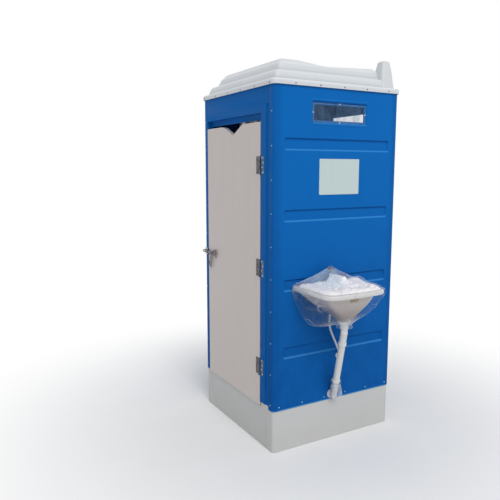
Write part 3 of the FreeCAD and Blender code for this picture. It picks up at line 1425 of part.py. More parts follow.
def hinges():
    frame_screws = []
    door_screws = []
    for name, middle in HINGES:
        hinge_leaf("hinge_%s_frame_leaf" % name, middle, False)
        hinge_leaf("hinge_%s_door_leaf" % name, middle, True)
        foot = "%s - hinge_high / 2" % middle
        axis = ("hinge_axis_x", "-hinge_axis_y")
        shank = rod("z", "pin_radius", "hinge_high", axis + (foot,))
        low = rod("-z", "pin_radius + pin_head", "pin_head", axis + (foot + " - pin_play",))
        high = rod("z", "pin_radius + pin_head", "pin_head", axis + ("%s + hinge_high / 2 + pin_play" % middle,))
        neck = rod("z", "pin_radius", "hinge_high + 2 * pin_play", axis + (foot + " - pin_play",))
        keep(fuse([shank, low, high, neck]), "hinge_%s_pin" % name)
        for index in range(int(value("hinge_screws"))):
            height = "%s + (%d - (hinge_screws - 1) / 2) * hinge_screw_pitch" % (middle, index)
            reach = "hinge_screw_near" if index % 2 else "hinge_screw_far"
            face = "-door_plane - leaf_thick"
            frame_screws.append(head("-y", "screw_radius", "screw_high", ("hinge_axis_x + " + reach, face, height)))
            door_screws.append(head("-y", "screw_radius", "screw_high", ("hinge_axis_x - " + reach, face, height)))
    keep(group(frame_screws), "hinge_screws_frame")
    keep(group(door_screws), "hinge_screws_door")


# Sliding latch outside: rod with a cross grip in two cleats, a hanging hasp, and a keeper on the jamb

def barrel_block(x, y, axis_z, bore, base_y):
    """Block with a round nose carrying a bore along X, standing on a face at base_y."""
    nose = rod("x", "%s + cleat_wall" % bore, "(%s) - (%s)" % (x[1], x[0]), (x[0], y, axis_z))
    ys = (y, base_y) if value(y) < value(base_y) else (base_y, y)
    block = box(x, ys, ("%s - %s - cleat_wall" % (axis_z, bore), "%s + %s + cleat_wall" % (axis_z, bore)))
    return [nose, block], rod("x", bore, "(%s) - (%s) + 2" % (x[1], x[0]), ("%s - 1" % x[0], y, axis_z))


def latch():
    bore = "(rod_radius + rod_play)"
    keeper_plane = "-half_deep"
    plate = box(("-keeper_mid - keeper_long / 2 + 1", "keeper_end - keeper_mid"),
                ("%s - plate_thick" % keeper_plane, keeper_plane),
                ("latch_high - keeper_plate_high / 2", "latch_high + keeper_plate_high / 2"))
    solids, hole = barrel_block(("-keeper_mid - keeper_long / 2 + 1", "keeper_long / 2 - keeper_mid"), "-rod_y",
                                "latch_high", "%s" % bore, keeper_plane)
    keep(cut(fuse([plate] + solids), [hole]), "latch_keeper")
    back = "-door_plane"
    first = "cleat_inset - door_left"
    cleats = []
    for index in range(2):
        low = "%s + %d * cleat_pitch" % (first, index)
        pair = barrel_block((low, low + " + cleat_wide"), "-rod_y", "latch_high", bore, back)
        foot = box(("%s - 1" % low, "%s + cleat_wide + 1" % low), ("%s - plate_thick" % back, back),
                   ("latch_high - plate_high / 2", "latch_high + plate_high / 2"))
        cleats.append(cut(fuse(pair[0] + [foot]), [pair[1]]))
    keep(group(cleats), "latch_cleats")
    grip_x = "%s + cleat_pitch + cleat_wide + latch_travel + grip_clear" % first
    shank = rod("x", "rod_radius", "(%s) + rod_tip" % grip_x, ("-rod_tip", "-rod_y", "latch_high"))
    grip = rod("z", "grip_radius", "2 * grip_half", (grip_x, "-rod_y", "latch_high - grip_half"))
    ends = [ball("grip_radius * 1.2", (grip_x, "-rod_y", "latch_high %s grip_half" % side)) for side in "+-"]
    collar_x = "%s + cleat_wide + latch_travel + hasp_clear" % first
    stops = [rod("x", "rod_radius + collar_proud", "collar_wide", (text, "-rod_y", "latch_high"))
             for text in ("%s - collar_wide - collar_clear" % collar_x, "%s + hasp_wide + collar_clear" % collar_x)]
    keep(fuse([shank, grip] + ends + stops), "latch_rod")
    ring = rod("x", "rod_radius + cleat_wall", "hasp_wide", (collar_x, "-rod_y", "latch_high"))
    arm = box((collar_x, collar_x + " + hasp_wide"), ("-rod_y - hasp_thick", "-rod_y"),
              ("latch_high - hasp_long", "latch_high"))
    slot = box((collar_x + " + (hasp_wide - hasp_slot_wide) / 2", collar_x + " + (hasp_wide + hasp_slot_wide) / 2"),
               ("-rod_y - 2 * hasp_thick", "-rod_y + hasp_thick"),
               ("latch_high - hasp_long + hasp_back", "latch_high - hasp_long + hasp_back + hasp_slot_long"))
    way = rod("x", "rod_radius + rod_play", "hasp_wide + 2", (collar_x + " - 1", "-rod_y", "latch_high"))
    keep(cut(fuse([ring, arm]), [slot, way]), "latch_hasp")
    eye_x = ("eye_inset - door_left", "eye_inset - door_left + eye_wide")
    eye_z = ("latch_high - eye_drop - eye_high / 2", "latch_high - eye_drop + eye_high / 2")
    tab = box(eye_x, ("%s - plate_thick" % back, back), eye_z)
    nose_y = "%s - eye_reach + eye_wide / 2" % back
    staple = rod("x", "eye_wide / 2", "eye_web", (eye_x[1] + " - eye_web", nose_y, "latch_high - eye_drop"))
    web = box((eye_x[1] + " - eye_web", eye_x[1]), (nose_y, back),
              ("latch_high - eye_drop - eye_wide / 2", "latch_high - eye_drop + eye_wide / 2"))
    hole = rod("x", "eye_wide / 3", "3 * eye_web", (eye_x[1] + " - 2 * eye_web", nose_y, "latch_high - eye_drop"))
    keep(cut(fuse([tab, staple, web]), [hole]), "padlock_eye")
    heads = []
    face = "%s - plate_thick" % back
    middle_x = "eye_inset - door_left + (eye_wide - eye_web) / 2"
    for side in ("+", "-"):
        heads.append(head("-y", "small_screw", "screw_high",
                          (middle_x, face, "latch_high - eye_drop %s eye_high * 0.33" % side)))
        for index in range(2):
            x = "%s + %d * cleat_pitch + cleat_wide / 2" % (first, index)
            heads.append(head("-y", "small_screw", "screw_high",
                              (x, face, "latch_high %s (plate_high / 2 - small_screw - screw_high / 2)" % side)))
    keep(group(heads), "latch_screws")
    keeper_heads = [head("-y", "small_screw", "screw_high",
                         ("keeper_end - 2 * small_screw - keeper_mid", "%s - plate_thick" % keeper_plane,
                          "latch_high %s keeper_plate_high / 3" % side)) for side in ("+", "-")]
    keep(group(keeper_heads), "keeper_screws")


# Inside of the door: bolt and its keeper, pull handle and hook

def door_inside():
    face = "door_thick - door_plane"
    start = "lip_side - opening_left + bolt_clear"
    axis_y = "%s + bolt_stand" % face
    plate = box((start, start + " + bolt_plate_long"), (face, face + " + plate_thick"),
                ("bolt_high - bolt_plate_high / 2", "bolt_high + bolt_plate_high / 2"))
    guides = [plate]
    holes = []
    for offset in ("bolt_guide_inset", "bolt_plate_long - bolt_guide_inset - cleat_wide"):
        low = "%s + %s" % (start, offset)
        solids, hole = barrel_block((low, low + " + cleat_wide"), axis_y, "bolt_high", "(bolt_radius + rod_play)",
                                    face)
        guides += solids
        holes.append(hole)
    keep(cut(fuse(guides), holes), "inside_bolt_guide")
    tip = start + " - 1"
    shank = rod("x", "bolt_radius", "bolt_plate_long + bolt_guide_inset", (tip, axis_y, "bolt_high"))
    knob_x = start + " + cleat_wide + bolt_travel + 3 * bolt_guide_inset"
    knob = rod("y", "bolt_radius - 1", "bolt_knob_long", (knob_x, axis_y, "bolt_high"))
    cap = rod("y", "bolt_radius + 2", "bolt_cap_long", (knob_x, axis_y + " + bolt_knob_long", "bolt_high"))
    keep(fuse([shank, knob, cap]), "inside_bolt")
    lip = "lip_thick - stop_plane"
    solids, hole = barrel_block(("-opening_left + 1", "lip_side - opening_left - 4"), axis_y, "bolt_high",
                                "(bolt_radius + rod_play)", lip)
    keep(cut(fuse(solids), [hole]), "inside_keeper")
    x, z = "pull_inset - door_left", ("pull_low", "pull_low + pull_long")
    y = "%s + pull_stand" % face
    posts = [rod("y", "pull_radius", "pull_stand", (x, face, height)) for height in z]
    feet = [rod("y", "2 * pull_radius", "plate_thick", (x, face, height)) for height in z]
    knuckles = [ball("pull_radius", (x, y, height)) for height in z]
    bar = rod("z", "pull_radius", "pull_long", (x, y, z[0]))
    keep(fuse(posts + feet + knuckles + [bar]), "inside_pull")
    plate = box(("-notch_middle - hook_plate_wide / 2", "hook_plate_wide / 2 - notch_middle"),
                (face, face + " + plate_thick"),
                ("hook_high - hook_plate_high / 2", "hook_high + hook_plate_high / 2"))
    peg = rod("y", "hook_radius", "hook_reach", ("-notch_middle", face, "hook_high"))
    bend = ("-notch_middle", face + " + hook_reach", "hook_high")
    lift = rod("z", "hook_radius", "hook_reach / 2", bend)
    tip = ball("hook_tip", (bend[0], bend[1], "hook_high + hook_reach / 2"))
    keep(fuse([plate, peg, lift, ball("hook_radius", bend), tip]), "coat_hook")


def build_all():
    ground_frame()
    plinth()
    floor_deck()
    side_panel("side_panel_right", True)
    side_panel("side_panel_left", False)
    back_panel()
    front_frame()
    window_panes()
    roof_shell()
    rivets()
    squat_pan()
    soil_pipe()
    vent_pipe()
    cistern()
    wash_basin()
    basin_fixings()
    pillar_tap()
    basin_waste()
    basin_hose()
    water_line()
    door_leaf()
    hinges()
    latch()
    door_inside()


def write_all():
    doc.recompute()
    for item in doc.Objects:
        if "Invalid" in item.State or "Error" in item.State:
            raise RuntimeError("failed object: %s (%s)" % (item.Name, item.Label))
    for item in nodes:
        if item.Shape.isNull() or not item.Shape.isValid():
            raise RuntimeError("bad shape: " + item.Label)
    os.makedirs("parts", exist_ok=True)
    for item in nodes:
        item.Shape.exportStep("parts/%s.step" % item.Label)
    print(len(nodes), "nodes written")


build_all()
write_all()
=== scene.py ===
import json
import math

import bmesh
import bpy
import numpy as np
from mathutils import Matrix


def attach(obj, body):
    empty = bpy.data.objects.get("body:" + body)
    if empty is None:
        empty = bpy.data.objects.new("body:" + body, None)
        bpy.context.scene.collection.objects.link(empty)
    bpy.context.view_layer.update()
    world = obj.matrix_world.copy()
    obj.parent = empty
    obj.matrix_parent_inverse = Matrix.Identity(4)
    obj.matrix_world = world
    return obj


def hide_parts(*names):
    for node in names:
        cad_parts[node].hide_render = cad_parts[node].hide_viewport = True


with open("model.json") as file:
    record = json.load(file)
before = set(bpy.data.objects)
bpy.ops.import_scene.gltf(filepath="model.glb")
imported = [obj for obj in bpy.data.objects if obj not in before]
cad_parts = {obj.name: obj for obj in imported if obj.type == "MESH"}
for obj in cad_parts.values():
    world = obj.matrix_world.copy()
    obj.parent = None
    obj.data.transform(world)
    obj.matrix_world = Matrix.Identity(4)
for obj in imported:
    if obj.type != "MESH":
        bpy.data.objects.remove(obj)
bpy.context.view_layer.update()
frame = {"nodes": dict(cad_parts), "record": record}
nodes = frame["nodes"]
MM = 0.001

# The cabin's sizes, in metres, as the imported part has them
HALF = 0.450
SKIN = 0.004
CORNER = 0.024
WRAP_EDGE = 0.400
WALL_FOOT, WALL_TOP = 0.256, 2.138
STRIP_MIDS = (0.601, 1.001, 1.401, 1.801)
STRIP_HALF = (0.3825, 0.035)
STRIP_DEEP = 0.010
WINDOW_MID = 1.981
WINDOW_HALF = (0.1975, 0.0615)
GLASS_HALF = (0.181, 0.043)
WINDOW_DEEP = 0.008
BASIN_WALL, BASIN_MID, BASIN_TOP = 0.4503, -0.090, 0.999
RIM_MID, RIM_HALF, RIM_REACH, RIM_CORNER, RIM_BOW = -0.116, 0.207, 0.356, 0.060, 1.0


# Numbers, paths and grid lines

def smooth(low, high, x):
    """0 below low, 1 above high, and the cubic 3t^2 - 2t^3 between."""
    t = np.clip((x - low) / (high - low), 0, 1)
    return t * t * (3 - 2 * t)


def soft_box(u, v, half_u, half_v, radius, slope):
    """1 inside a round-cornered rectangle and 0 outside: smooth() of the distance to its outline."""
    far_u, far_v = np.abs(u) - half_u + radius, np.abs(v) - half_v + radius
    outside = np.hypot(np.maximum(far_u, 0), np.maximum(far_v, 0))
    distance = outside + np.minimum(np.maximum(far_u, far_v), 0) - radius
    return 1 - smooth(-slope, 0, distance)


def lattice(u, v, seed, wrap=0):
    """Smooth noise from 0 to 1: random values at whole numbers, blended by smooth(); wrap closes u."""
    size = 64
    table = np.random.RandomState(seed).rand(size, size)
    i, j = np.floor(u).astype(int), np.floor(v).astype(int)
    a, b = smooth(0, 1, u - i), smooth(0, 1, v - j)
    turn = wrap or size
    low, high = i % turn, (i + 1) % turn
    near, far = j % size, (j + 1) % size
    first = table[low, near] * (1 - a) + table[high, near] * a
    second = table[low, far] * (1 - a) + table[high, far] * a
    return first * (1 - b) + second * b


def ridged(u, v, seed, wrap=0):
    """Sharp folds from smooth noise: 1 - |2n - 1|, squared."""
    return (1 - np.abs(2 * lattice(u, v, seed, wrap) - 1)) ** 2


def both(*values):
    """Each value and its mirror image."""
    return [side * value for value in values for side in (-1, 1)]


def arc(centre, radius, angle):
    """X and Y of points about a centre, at a radius and an angle."""
    return centre[0] + radius * np.cos(angle), centre[1] + radius * np.sin(angle)


def path(*legs):
    """X and Y of a path from its legs, which are pairs of arrays or of an array and one number."""
    return np.concatenate([np.stack(np.broadcast_arrays(*leg)) for leg in legs], axis=1)


def to_points(x, y, z):
    """Array of points from their coordinates, any of which may be one number."""
    return np.stack(np.broadcast_arrays(x, y, z), axis=-1)


def lines(low, high, step, marks, edges):
    """Grid lines from low to high, with eleven across the slopes at each mark and one at each edge."""
    closest, clear = 0.0012, 0.002
    places = [*np.arange(low, high, step), high]
    places += [spot + shift for spot in marks for shift in both(0, 0.003, 0.0055, 0.008, 0.0105, 0.013)]
    places = np.unique(np.round([place for place in places if low <= place <= high], 5))
    keep = np.concatenate([[True], np.diff(places) > closest])
    keep[-1] = True
    kept = [place for place in places[keep] if all(abs(place - edge) > clear for edge in edges)]
    return np.array(sorted([*kept, *edges]))


# Meshes

def finish_mesh(obj, angle=40):
    """Smooth shading with creases over an angle."""
    obj.data.shade_smooth()
    obj.data.set_sharp_from_angle(angle=math.radians(angle))
    return obj


def link(obj):
    """Put an object in the scene."""
    bpy.context.scene.collection.objects.link(obj)
    return obj


def grid_piece(name, points, around=False, drop=None, flip=False, cap_first=False, cap_last=False):
    """Mesh of quads from an array of points [row, column]; around joins the last column to the first."""
    rows, columns = points.shape[:2]
    index = np.arange(rows * columns).reshape(rows, columns)
    if around:
        index = np.concatenate([index, index[:, :1]], axis=1)
    quads = np.stack([index[:-1, :-1], index[:-1, 1:], index[1:, 1:], index[1:, :-1]], axis=-1)
    if flip:
        quads = quads[..., ::-1]
    quads = quads.reshape(-1, 4)
    if drop is not None:
        quads = quads[~drop.reshape(-1)]
    faces = quads.tolist()
    first, last = index[0, :columns].tolist(), index[-1, :columns].tolist()
    if cap_first:
        faces.append(first if flip else first[::-1])
    if cap_last:
        faces.append(last[::-1] if flip else last)
    mesh = bpy.data.meshes.new(name)
    mesh.from_pydata(points.reshape(-1, 3).tolist(), [], faces)
    mesh.update()
    return finish_mesh(link(bpy.data.objects.new(name, mesh)))


def edit(obj, change):
    """Change an object's mesh through bmesh, after its doubled points are merged."""
    work = bmesh.new()
    work.from_mesh(obj.data)
    bmesh.ops.remove_doubles(work, verts=work.verts, dist=1e-6)
    change(work)
    work.to_mesh(obj.data)
    work.free()
    return finish_mesh(obj)


def clean(obj):
    """Merge doubled points and drop loose ones."""

    def drop_loose(work):
        """Delete the points that no face uses."""
        loose = [vert for vert in work.verts if not vert.link_faces]
        bmesh.ops.delete(work, geom=loose, context="VERTS")

    return edit(obj, drop_loose)


def mark(obj, name, values):
    """Store one number for each vertex, for the materials to read."""
    store = obj.data.attributes.new(name, "FLOAT", "POINT")
    store.data.foreach_set("value", np.asarray(values, np.float32).ravel())
    return obj


def thicken(obj, thickness, offset=-1):
    """Give a surface a wall: inwards, outwards for an offset of 1, or half each way for 0."""
    wall = obj.modifiers.new("Wall", "SOLIDIFY")
    wall.thickness = thickness
    wall.offset = offset
    wall.use_even_offset = True
    return obj


def soften(node, width):
    """Copy of a CAD node with its flat faces whole and its edges rounded by a bevel."""

    def join_flats(work):
        """Join the faces that lie flat to within a degree."""
        bmesh.ops.dissolve_limit(work, angle_limit=math.radians(1), verts=work.verts, edges=work.edges)

    obj = edit(link(bpy.data.objects.new(node + ".soft", nodes[node].data.copy())), join_flats)
    bevel = obj.modifiers.new("Edge", "BEVEL")
    bevel.width = width
    bevel.segments = 2
    bevel.limit_method = "ANGLE"
    bevel.angle_limit = math.radians(40)
    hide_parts(node)
    return obj


def settle(obj, material, body, slot, *stands_for):
    """Give a finished piece its material and its body, and hide the CAD nodes it stands for; the slot is
    not used.
    """
    obj.data.materials.clear()
    obj.data.materials.append(material)
    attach(obj, body)
    if stands_for:
        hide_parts(*stands_for)
    return obj


# Shader trees

class Wire:
    """A shader node's output. Sums, products and powers of wires and numbers add Math nodes to its tree."""

    def __init__(self, tree, socket):
        self.tree = tree
        self.socket = socket

    def math(self, operation, first, second=0.0):
        """Math node on two wires or numbers."""
        node = add(self.tree, "ShaderNodeMath", operation=operation)
        plug(first, node.inputs[0])
        plug(second, node.inputs[1])
        return Wire(self.tree, node.outputs[0])

    def __add__(self, other):
        return self.math("ADD", self, other)

    def __sub__(self, other):
        return self.math("SUBTRACT", self, other)

    def __rsub__(self, other):
        return self.math("SUBTRACT", other, self)

    def __mul__(self, other):
        return self.math("MULTIPLY", self, other)

    def __pow__(self, other):
        return self.math("POWER", self, other)

    def __abs__(self):
        return self.math("ABSOLUTE", self)

    def most(self, other):
        """The greater of the two."""
        return self.math("MAXIMUM", self, other)

    def least(self, other):
        """The smaller of the two."""
        return self.math("MINIMUM", self, other)


def add(tree, kind, **settings):
    """New node in a shader tree, with its settings."""
    node = tree.nodes.new(kind)
    for key, value in settings.items():
        setattr(node, key, value)
    return node


def plug(value, socket):
    """Feed a socket from a wire, or set it to a number, a vector or an opaque colour."""
    if isinstance(value, Wire):
        value.tree.links.new(value.socket, socket)
    elif socket.type == "RGBA":
        socket.default_value = (*value, 1)
    else:
        socket.default_value = value


def fill(node, **values):
    """Feed a node's inputs by their names, which have _ for a blank."""
    for label, value in values.items():
        plug(value, node.inputs[label.replace("_", " ")])
    return node


def noise(vector, scale, detail=3.0, roughness=0.55):
    """Cloudy noise from 0 to 1 at a place."""
    node = add(vector.tree, "ShaderNodeTexNoise")
    fill(node, Vector=vector, Scale=scale, Detail=detail, Roughness=roughness)
    return Wire(vector.tree, node.outputs["Fac"])


def ramp(value, low, high):
    """0 where a wire is below low, 1 above high, and a smooth step between."""
    node = add(value.tree, "ShaderNodeMapRange", interpolation_type="SMOOTHSTEP")
    fill(node, Value=value, From_Min=low, From_Max=high)
    return Wire(value.tree, node.outputs["Result"])


def blend(amount, first, second):
    """Colour that goes from the first to the second as the amount goes from 0 to 1."""
    node = add(amount.tree, "ShaderNodeMix", data_type="RGBA")
    for slot, value in ((0, amount), (6, first), (7, second)):
        plug(value, node.inputs[slot])
    return Wire(amount.tree, node.outputs[2])


def stretched(vector, scale):
    """A place with its axes scaled, which draws a pattern out along the axis that is scaled least."""
    node = fill(add(vector.tree, "ShaderNodeMapping"), Vector=vector, Scale=scale)
    return Wire(vector.tree, node.outputs["Vector"])


def axes(vector):
    """The X, Y and Z of a place."""
    node = fill(add(vector.tree, "ShaderNodeSeparateXYZ"), Vector=vector)
    return [Wire(vector.tree, output) for output in node.outputs]


def stored(tree, name):
    """The number that mark() stored on a piece under a name."""
    return Wire(tree, add(tree, "ShaderNodeAttribute", attribute_name=name).outputs["Fac"])


def bump(shader, height, distance, strength=1.0):
    """Bump a shader's normal by a height wire, over a distance in metres."""
    node = fill(add(height.tree, "ShaderNodeBump"), Strength=strength, Distance=distance, Height=height)
    fill(shader, Normal=Wire(height.tree, node.outputs["Normal"]))


# Shader groups

def new_group(name, inputs, outputs):
    """Inputs of a new node group as wires, and its output node; a socket's kind follows from its name."""
    tree = bpy.data.node_groups.new(name, "ShaderNodeTree")
    for labels, side in ((inputs, "INPUT"), (outputs, "OUTPUT")):
        for label in labels:
            kind = label.split()[-1] if label.endswith(("Vector", "Color")) else "Float"
            tree.interface.new_socket(label, in_out=side, socket_type="NodeSocket" + kind)
    source, sink = add(tree, "NodeGroupInput"), add(tree, "NodeGroupOutput")
    return [Wire(tree, source.outputs[label]) for label in inputs], sink


def place_group(group, vector, **values):
    """Group in a material at the piece's own place, with its outputs as wires by name."""
    node = fill(add(vector.tree, "ShaderNodeGroup", node_tree=group), Vector=vector, **values)
    return {output.name: Wire(vector.tree, output) for output in node.outputs}


def build_weather_and_shade():
    """Dust, soft colour drift, rain streaks and a band that fades with height: dirt on some pieces, painted
    shade on others.
    """
    wires, sink = new_group("weather and shade", ["Vector", "Color", "Dirt Color", "Drift", "Streaks", "Foot Dirt",
                                        "Foot Height", "Roughness"], ["Color", "Roughness"])
    vector, color, dirt_and_shade_color, drift_share, streak_share, foot_share, foot_height, rough = wires
    drift = (noise(vector, 2.2, 4.0) - 0.5) * drift_share
    streak = ramp(noise(stretched(vector, (22, 22, 0.9)), 1.0), 0.52, 0.75) * streak_share
    rise = 1.0 - ramp(axes(vector)[2], 0.0, foot_height)
    patch = ramp(noise(vector, 9.0, 5.0, 0.65), 0.32, 0.7) * 0.3 + 0.7
    speck = ramp(noise(vector, 160.0, 2.0), 0.66, 0.8) * (foot_share * 0.6)
    dirt = (streak + rise * patch * foot_share).most(speck)
    lift = fill(add(vector.tree, "ShaderNodeHueSaturation"), Color=color, Value=drift + 1.0)
    lifted = Wire(vector.tree, lift.outputs["Color"])
    fill(sink, Color=blend(dirt, lifted, dirt_and_shade_color), Roughness=rough + dirt * 0.5 + drift * 0.4)
    return vector.tree


def build_moulding():
    """Height of a moulded skin: fine orange peel over slow waves."""
    (vector, peel, waves), sink = new_group("moulded skin", ["Vector", "Peel", "Waves"], ["Height"])
    fill(sink, Height=noise(vector, 420.0, 2.0) * peel * 0.12 + noise(vector, 7.0, 1.5) * waves)
    return vector.tree


def build_scratches():
    """Brushed lines along one axis as a height, and dull rub marks as a mask."""
    (vector, amount), sink = new_group("metal marks", ["Vector", "Amount"], ["Mask", "Height"])
    spots = ramp(noise(vector, 55.0, 4.0, 0.7), 0.45, 0.68)
    fill(sink, Mask=spots * amount, Height=noise(stretched(vector, (60, 900, 900)), 1.0))
    return vector.tree


WEATHER_AND_SHADE, MOULDING, SCRATCHES = build_weather_and_shade(), build_moulding(), build_scratches()


# Finishes

def new_material(name):
    """Material, its own shader, and the piece's Object coordinates as a wire."""
    material = bpy.data.materials.new(name)
    material.use_nodes = True
    tree = material.node_tree
    place = Wire(tree, add(tree, "ShaderNodeTexCoord").outputs["Object"])
    return material, tree.nodes["Principled BSDF"], place


def plastic(name, color, rough, drift, streaks=0.1, foot=0.0, foot_height=0.4, dirt=(0.23, 0.2, 0.17),
            peel=1.0, waves=1.0, relief=0.0012, gloss=0.35, coat=0.0, coat_rough=0.25, **tints):
    """Weathered colour over a finely peeled, slowly waving skin, its foot band painted shade on some
    pieces; tints name attributes and their tones.
    """
    material, shader, place = new_material(name)
    skin = place_group(WEATHER_AND_SHADE, place, Color=color, Dirt_Color=dirt, Drift=drift, Streaks=streaks,
                       Foot_Dirt=foot, Foot_Height=foot_height, Roughness=rough)
    tone = skin["Color"]
    for attribute, tint in tints.items():
        tone = blend(stored(place.tree, attribute), tone, tint)
    fill(shader, Base_Color=tone, Roughness=skin["Roughness"], Specular_IOR_Level=gloss, Coat_Weight=coat,
         Coat_Roughness=coat_rough)
    bump(shader, place_group(MOULDING, place, Peel=peel, Waves=waves)["Height"], relief)
    return material


def glaze(name, color, **tints):
    """Glazed ceramic: an even, hardly peeled colour under a clear coat."""
    return plastic(name, color, rough=0.08, drift=0.05, streaks=0.0, peel=0.15, relief=0.0008, gloss=0.5,
                   coat=0.5, coat_rough=0.04, **tints)


def metal(name, color, rough, spots, tint=(0.12, 0.1, 0.08), metallic=1.0):
    """Plated steel: brushed, with dull spots of a tint."""
    material, shader, place = new_material(name)
    wear = place_group(SCRATCHES, place, Amount=spots)
    fill(shader, Base_Color=blend(wear["Mask"], color, tint), Roughness=wear["Mask"] * 0.35 + rough,
         Metallic=metallic)
    bump(shader, wear["Height"], 0.0002, 0.6)
    return material


wall_blue = plastic("wall blue", (0.0035, 0.132, 0.45), rough=0.38, drift=0.14, streaks=0.04, foot=0.72,
                    # Painted shade: the walls darken towards the bottom, up to 2 m
                    foot_height=2.0, dirt=(0.002, 0.050, 0.215), waves=1.4, gloss=0.05,
                    # Painted highlight on up-facing pressed edges and the foot's lip; painted shade on
                    # down-facing edges and near the corners
                    worn=(0.09, 0.41, 0.80), grimy=(0.002, 0.055, 0.23))
frame_blue = plastic("frame blue", (0.004, 0.115, 0.395), rough=0.42, drift=0.14, streaks=0.04, foot=0.4,
                     # Darker towards the bottom: a dark blue band from the foot up to 1.9 m
                     foot_height=1.9, dirt=(0.003, 0.062, 0.25), waves=1.2, gloss=0.03)
plinth_grey = plastic("plinth grey", (0.508, 0.506, 0.497), rough=0.5, drift=0.07, streaks=0.05, foot=0.16,
                      foot_height=0.25, dirt=(0.33, 0.31, 0.28))
roof_white = plastic("roof white", (0.63, 0.65, 0.665), rough=0.4, drift=0.06, streaks=0.07, waves=1.2,
                     # Tints: painted highlight on the steps' rounded shoulders, painted shade in their
                     # grooves
                     dirt=(0.42, 0.43, 0.42), gloss=0.3, worn=(0.76, 0.775, 0.785), grimy=(0.4, 0.43, 0.46))
door_grey = plastic("door skin", (0.595, 0.54, 0.515), rough=0.45, drift=0.05, foot=0.14, foot_height=1.1,
                    dirt=(0.42, 0.37, 0.34), waves=0.8, gloss=0.25)
floor_grey = plastic("floor grey", (0.24, 0.25, 0.26), rough=0.6, drift=0.2, foot=0.4, foot_height=3.0)
# Painted shade: the pipes darken towards the foot, up to 0.45 m
pipe_grey = plastic("pipe white", (0.66, 0.66, 0.65), rough=0.4, drift=0.08, streaks=0.08, foot=0.4,
                    foot_height=0.45)
cistern_white = plastic("cistern white", (0.76, 0.76, 0.75), rough=0.25, drift=0.04, streaks=0.04, coat=0.3)
hose_grey = plastic("hose grey", (0.56, 0.58, 0.6), rough=0.3, drift=0.08, streaks=0.05, coat=0.3)
knob_dark = plastic("knob dark", (0.035, 0.03, 0.04), rough=0.35, drift=0.1, streaks=0.05)
label_tan = plastic("label tan", (0.36, 0.27, 0.15), rough=0.5, drift=0.3, streaks=0.2,
                    dirt=(0.2, 0.14, 0.08))
sign_face = plastic("sign face", (0.5, 0.59, 0.585), rough=0.22, drift=0.05, streaks=0.06,
                    dirt=(0.3, 0.33, 0.33), peel=0.2, waves=0.7, coat=0.4)
ceramic = glaze("white glaze", (0.66, 0.63, 0.605))
# Darker brown under the rim: partly the bare unglazed underside, partly painted shade under the rim
basin_glaze = glaze("basin glaze", (0.68, 0.65, 0.63), bare=(0.36, 0.295, 0.262))
zinc = metal("primed steel", (0.2, 0.21, 0.22), rough=0.55, spots=0.7, tint=(0.16, 0.08, 0.04),
             metallic=0.3)
latch_metal = metal("latch steel", (0.225, 0.212, 0.215), rough=0.36, spots=0.7, tint=(0.07, 0.06, 0.055))
keeper_metal = metal("keeper steel", (0.42, 0.44, 0.47), rough=0.34, spots=0.5)
hinge_metal = metal("hinge steel", (0.15, 0.135, 0.13), rough=0.42, spots=0.8, tint=(0.05, 0.04, 0.04))
leaf_metal = metal("hinge leaf on the frame", (0.12, 0.17, 0.26), rough=0.45, spots=0.7,
                   tint=(0.01, 0.09, 0.27))
rivet_metal = metal("rivet aluminium", (0.24, 0.36, 0.5), rough=0.4, spots=0.3, tint=(0.1, 0.2, 0.4))
roof_steel = metal("roof rivet steel", (0.1, 0.115, 0.13), rough=0.5, spots=0.6, tint=(0.05, 0.05, 0.05))
screw_steel = metal("screw steel", (0.6, 0.62, 0.64), rough=0.3, spots=0.3)
chrome = metal("tap chrome", (0.66, 0.67, 0.69), rough=0.1, spots=0.25, tint=(0.45, 0.45, 0.45))


def build_clear_sheet(name, haze, tone):
    """Dusty clear sheet: upright streaks and clouds in its haze, and a pale line round its edge."""
    material, shader, place = new_material(name)
    smear = noise(stretched(place, (26, 26, 5)), 1.0, 4.0, 0.6)
    cloud = noise(place, 11.0, 3.0, 0.6)
    x, y, z = axes(place)
    along, high = abs(x).least(abs(y)), abs(z - WINDOW_MID)

    def past(near, far):
        """1 outside the window's opening, from near to far past its edges."""
        beside = ramp(along, GLASS_HALF[0] + near, GLASS_HALF[0] + far)
        return beside.most(ramp(high, GLASS_HALF[1] + near, GLASS_HALF[1] + far))

    line = (past(0.002, 0.004) - past(0.0085, 0.010)) * 0.3
    dust = ramp(smear, 0.3, 0.7) * 0.45 + ramp(cloud, 0.3, 0.7) * 0.35
    fill(shader, Base_Color=blend(line, tone, (0.2, 0.42, 0.68)), Roughness=smear * 0.2 + 0.12,
         Alpha=((dust + 0.25) * haze + line).least(0.96))
    return material


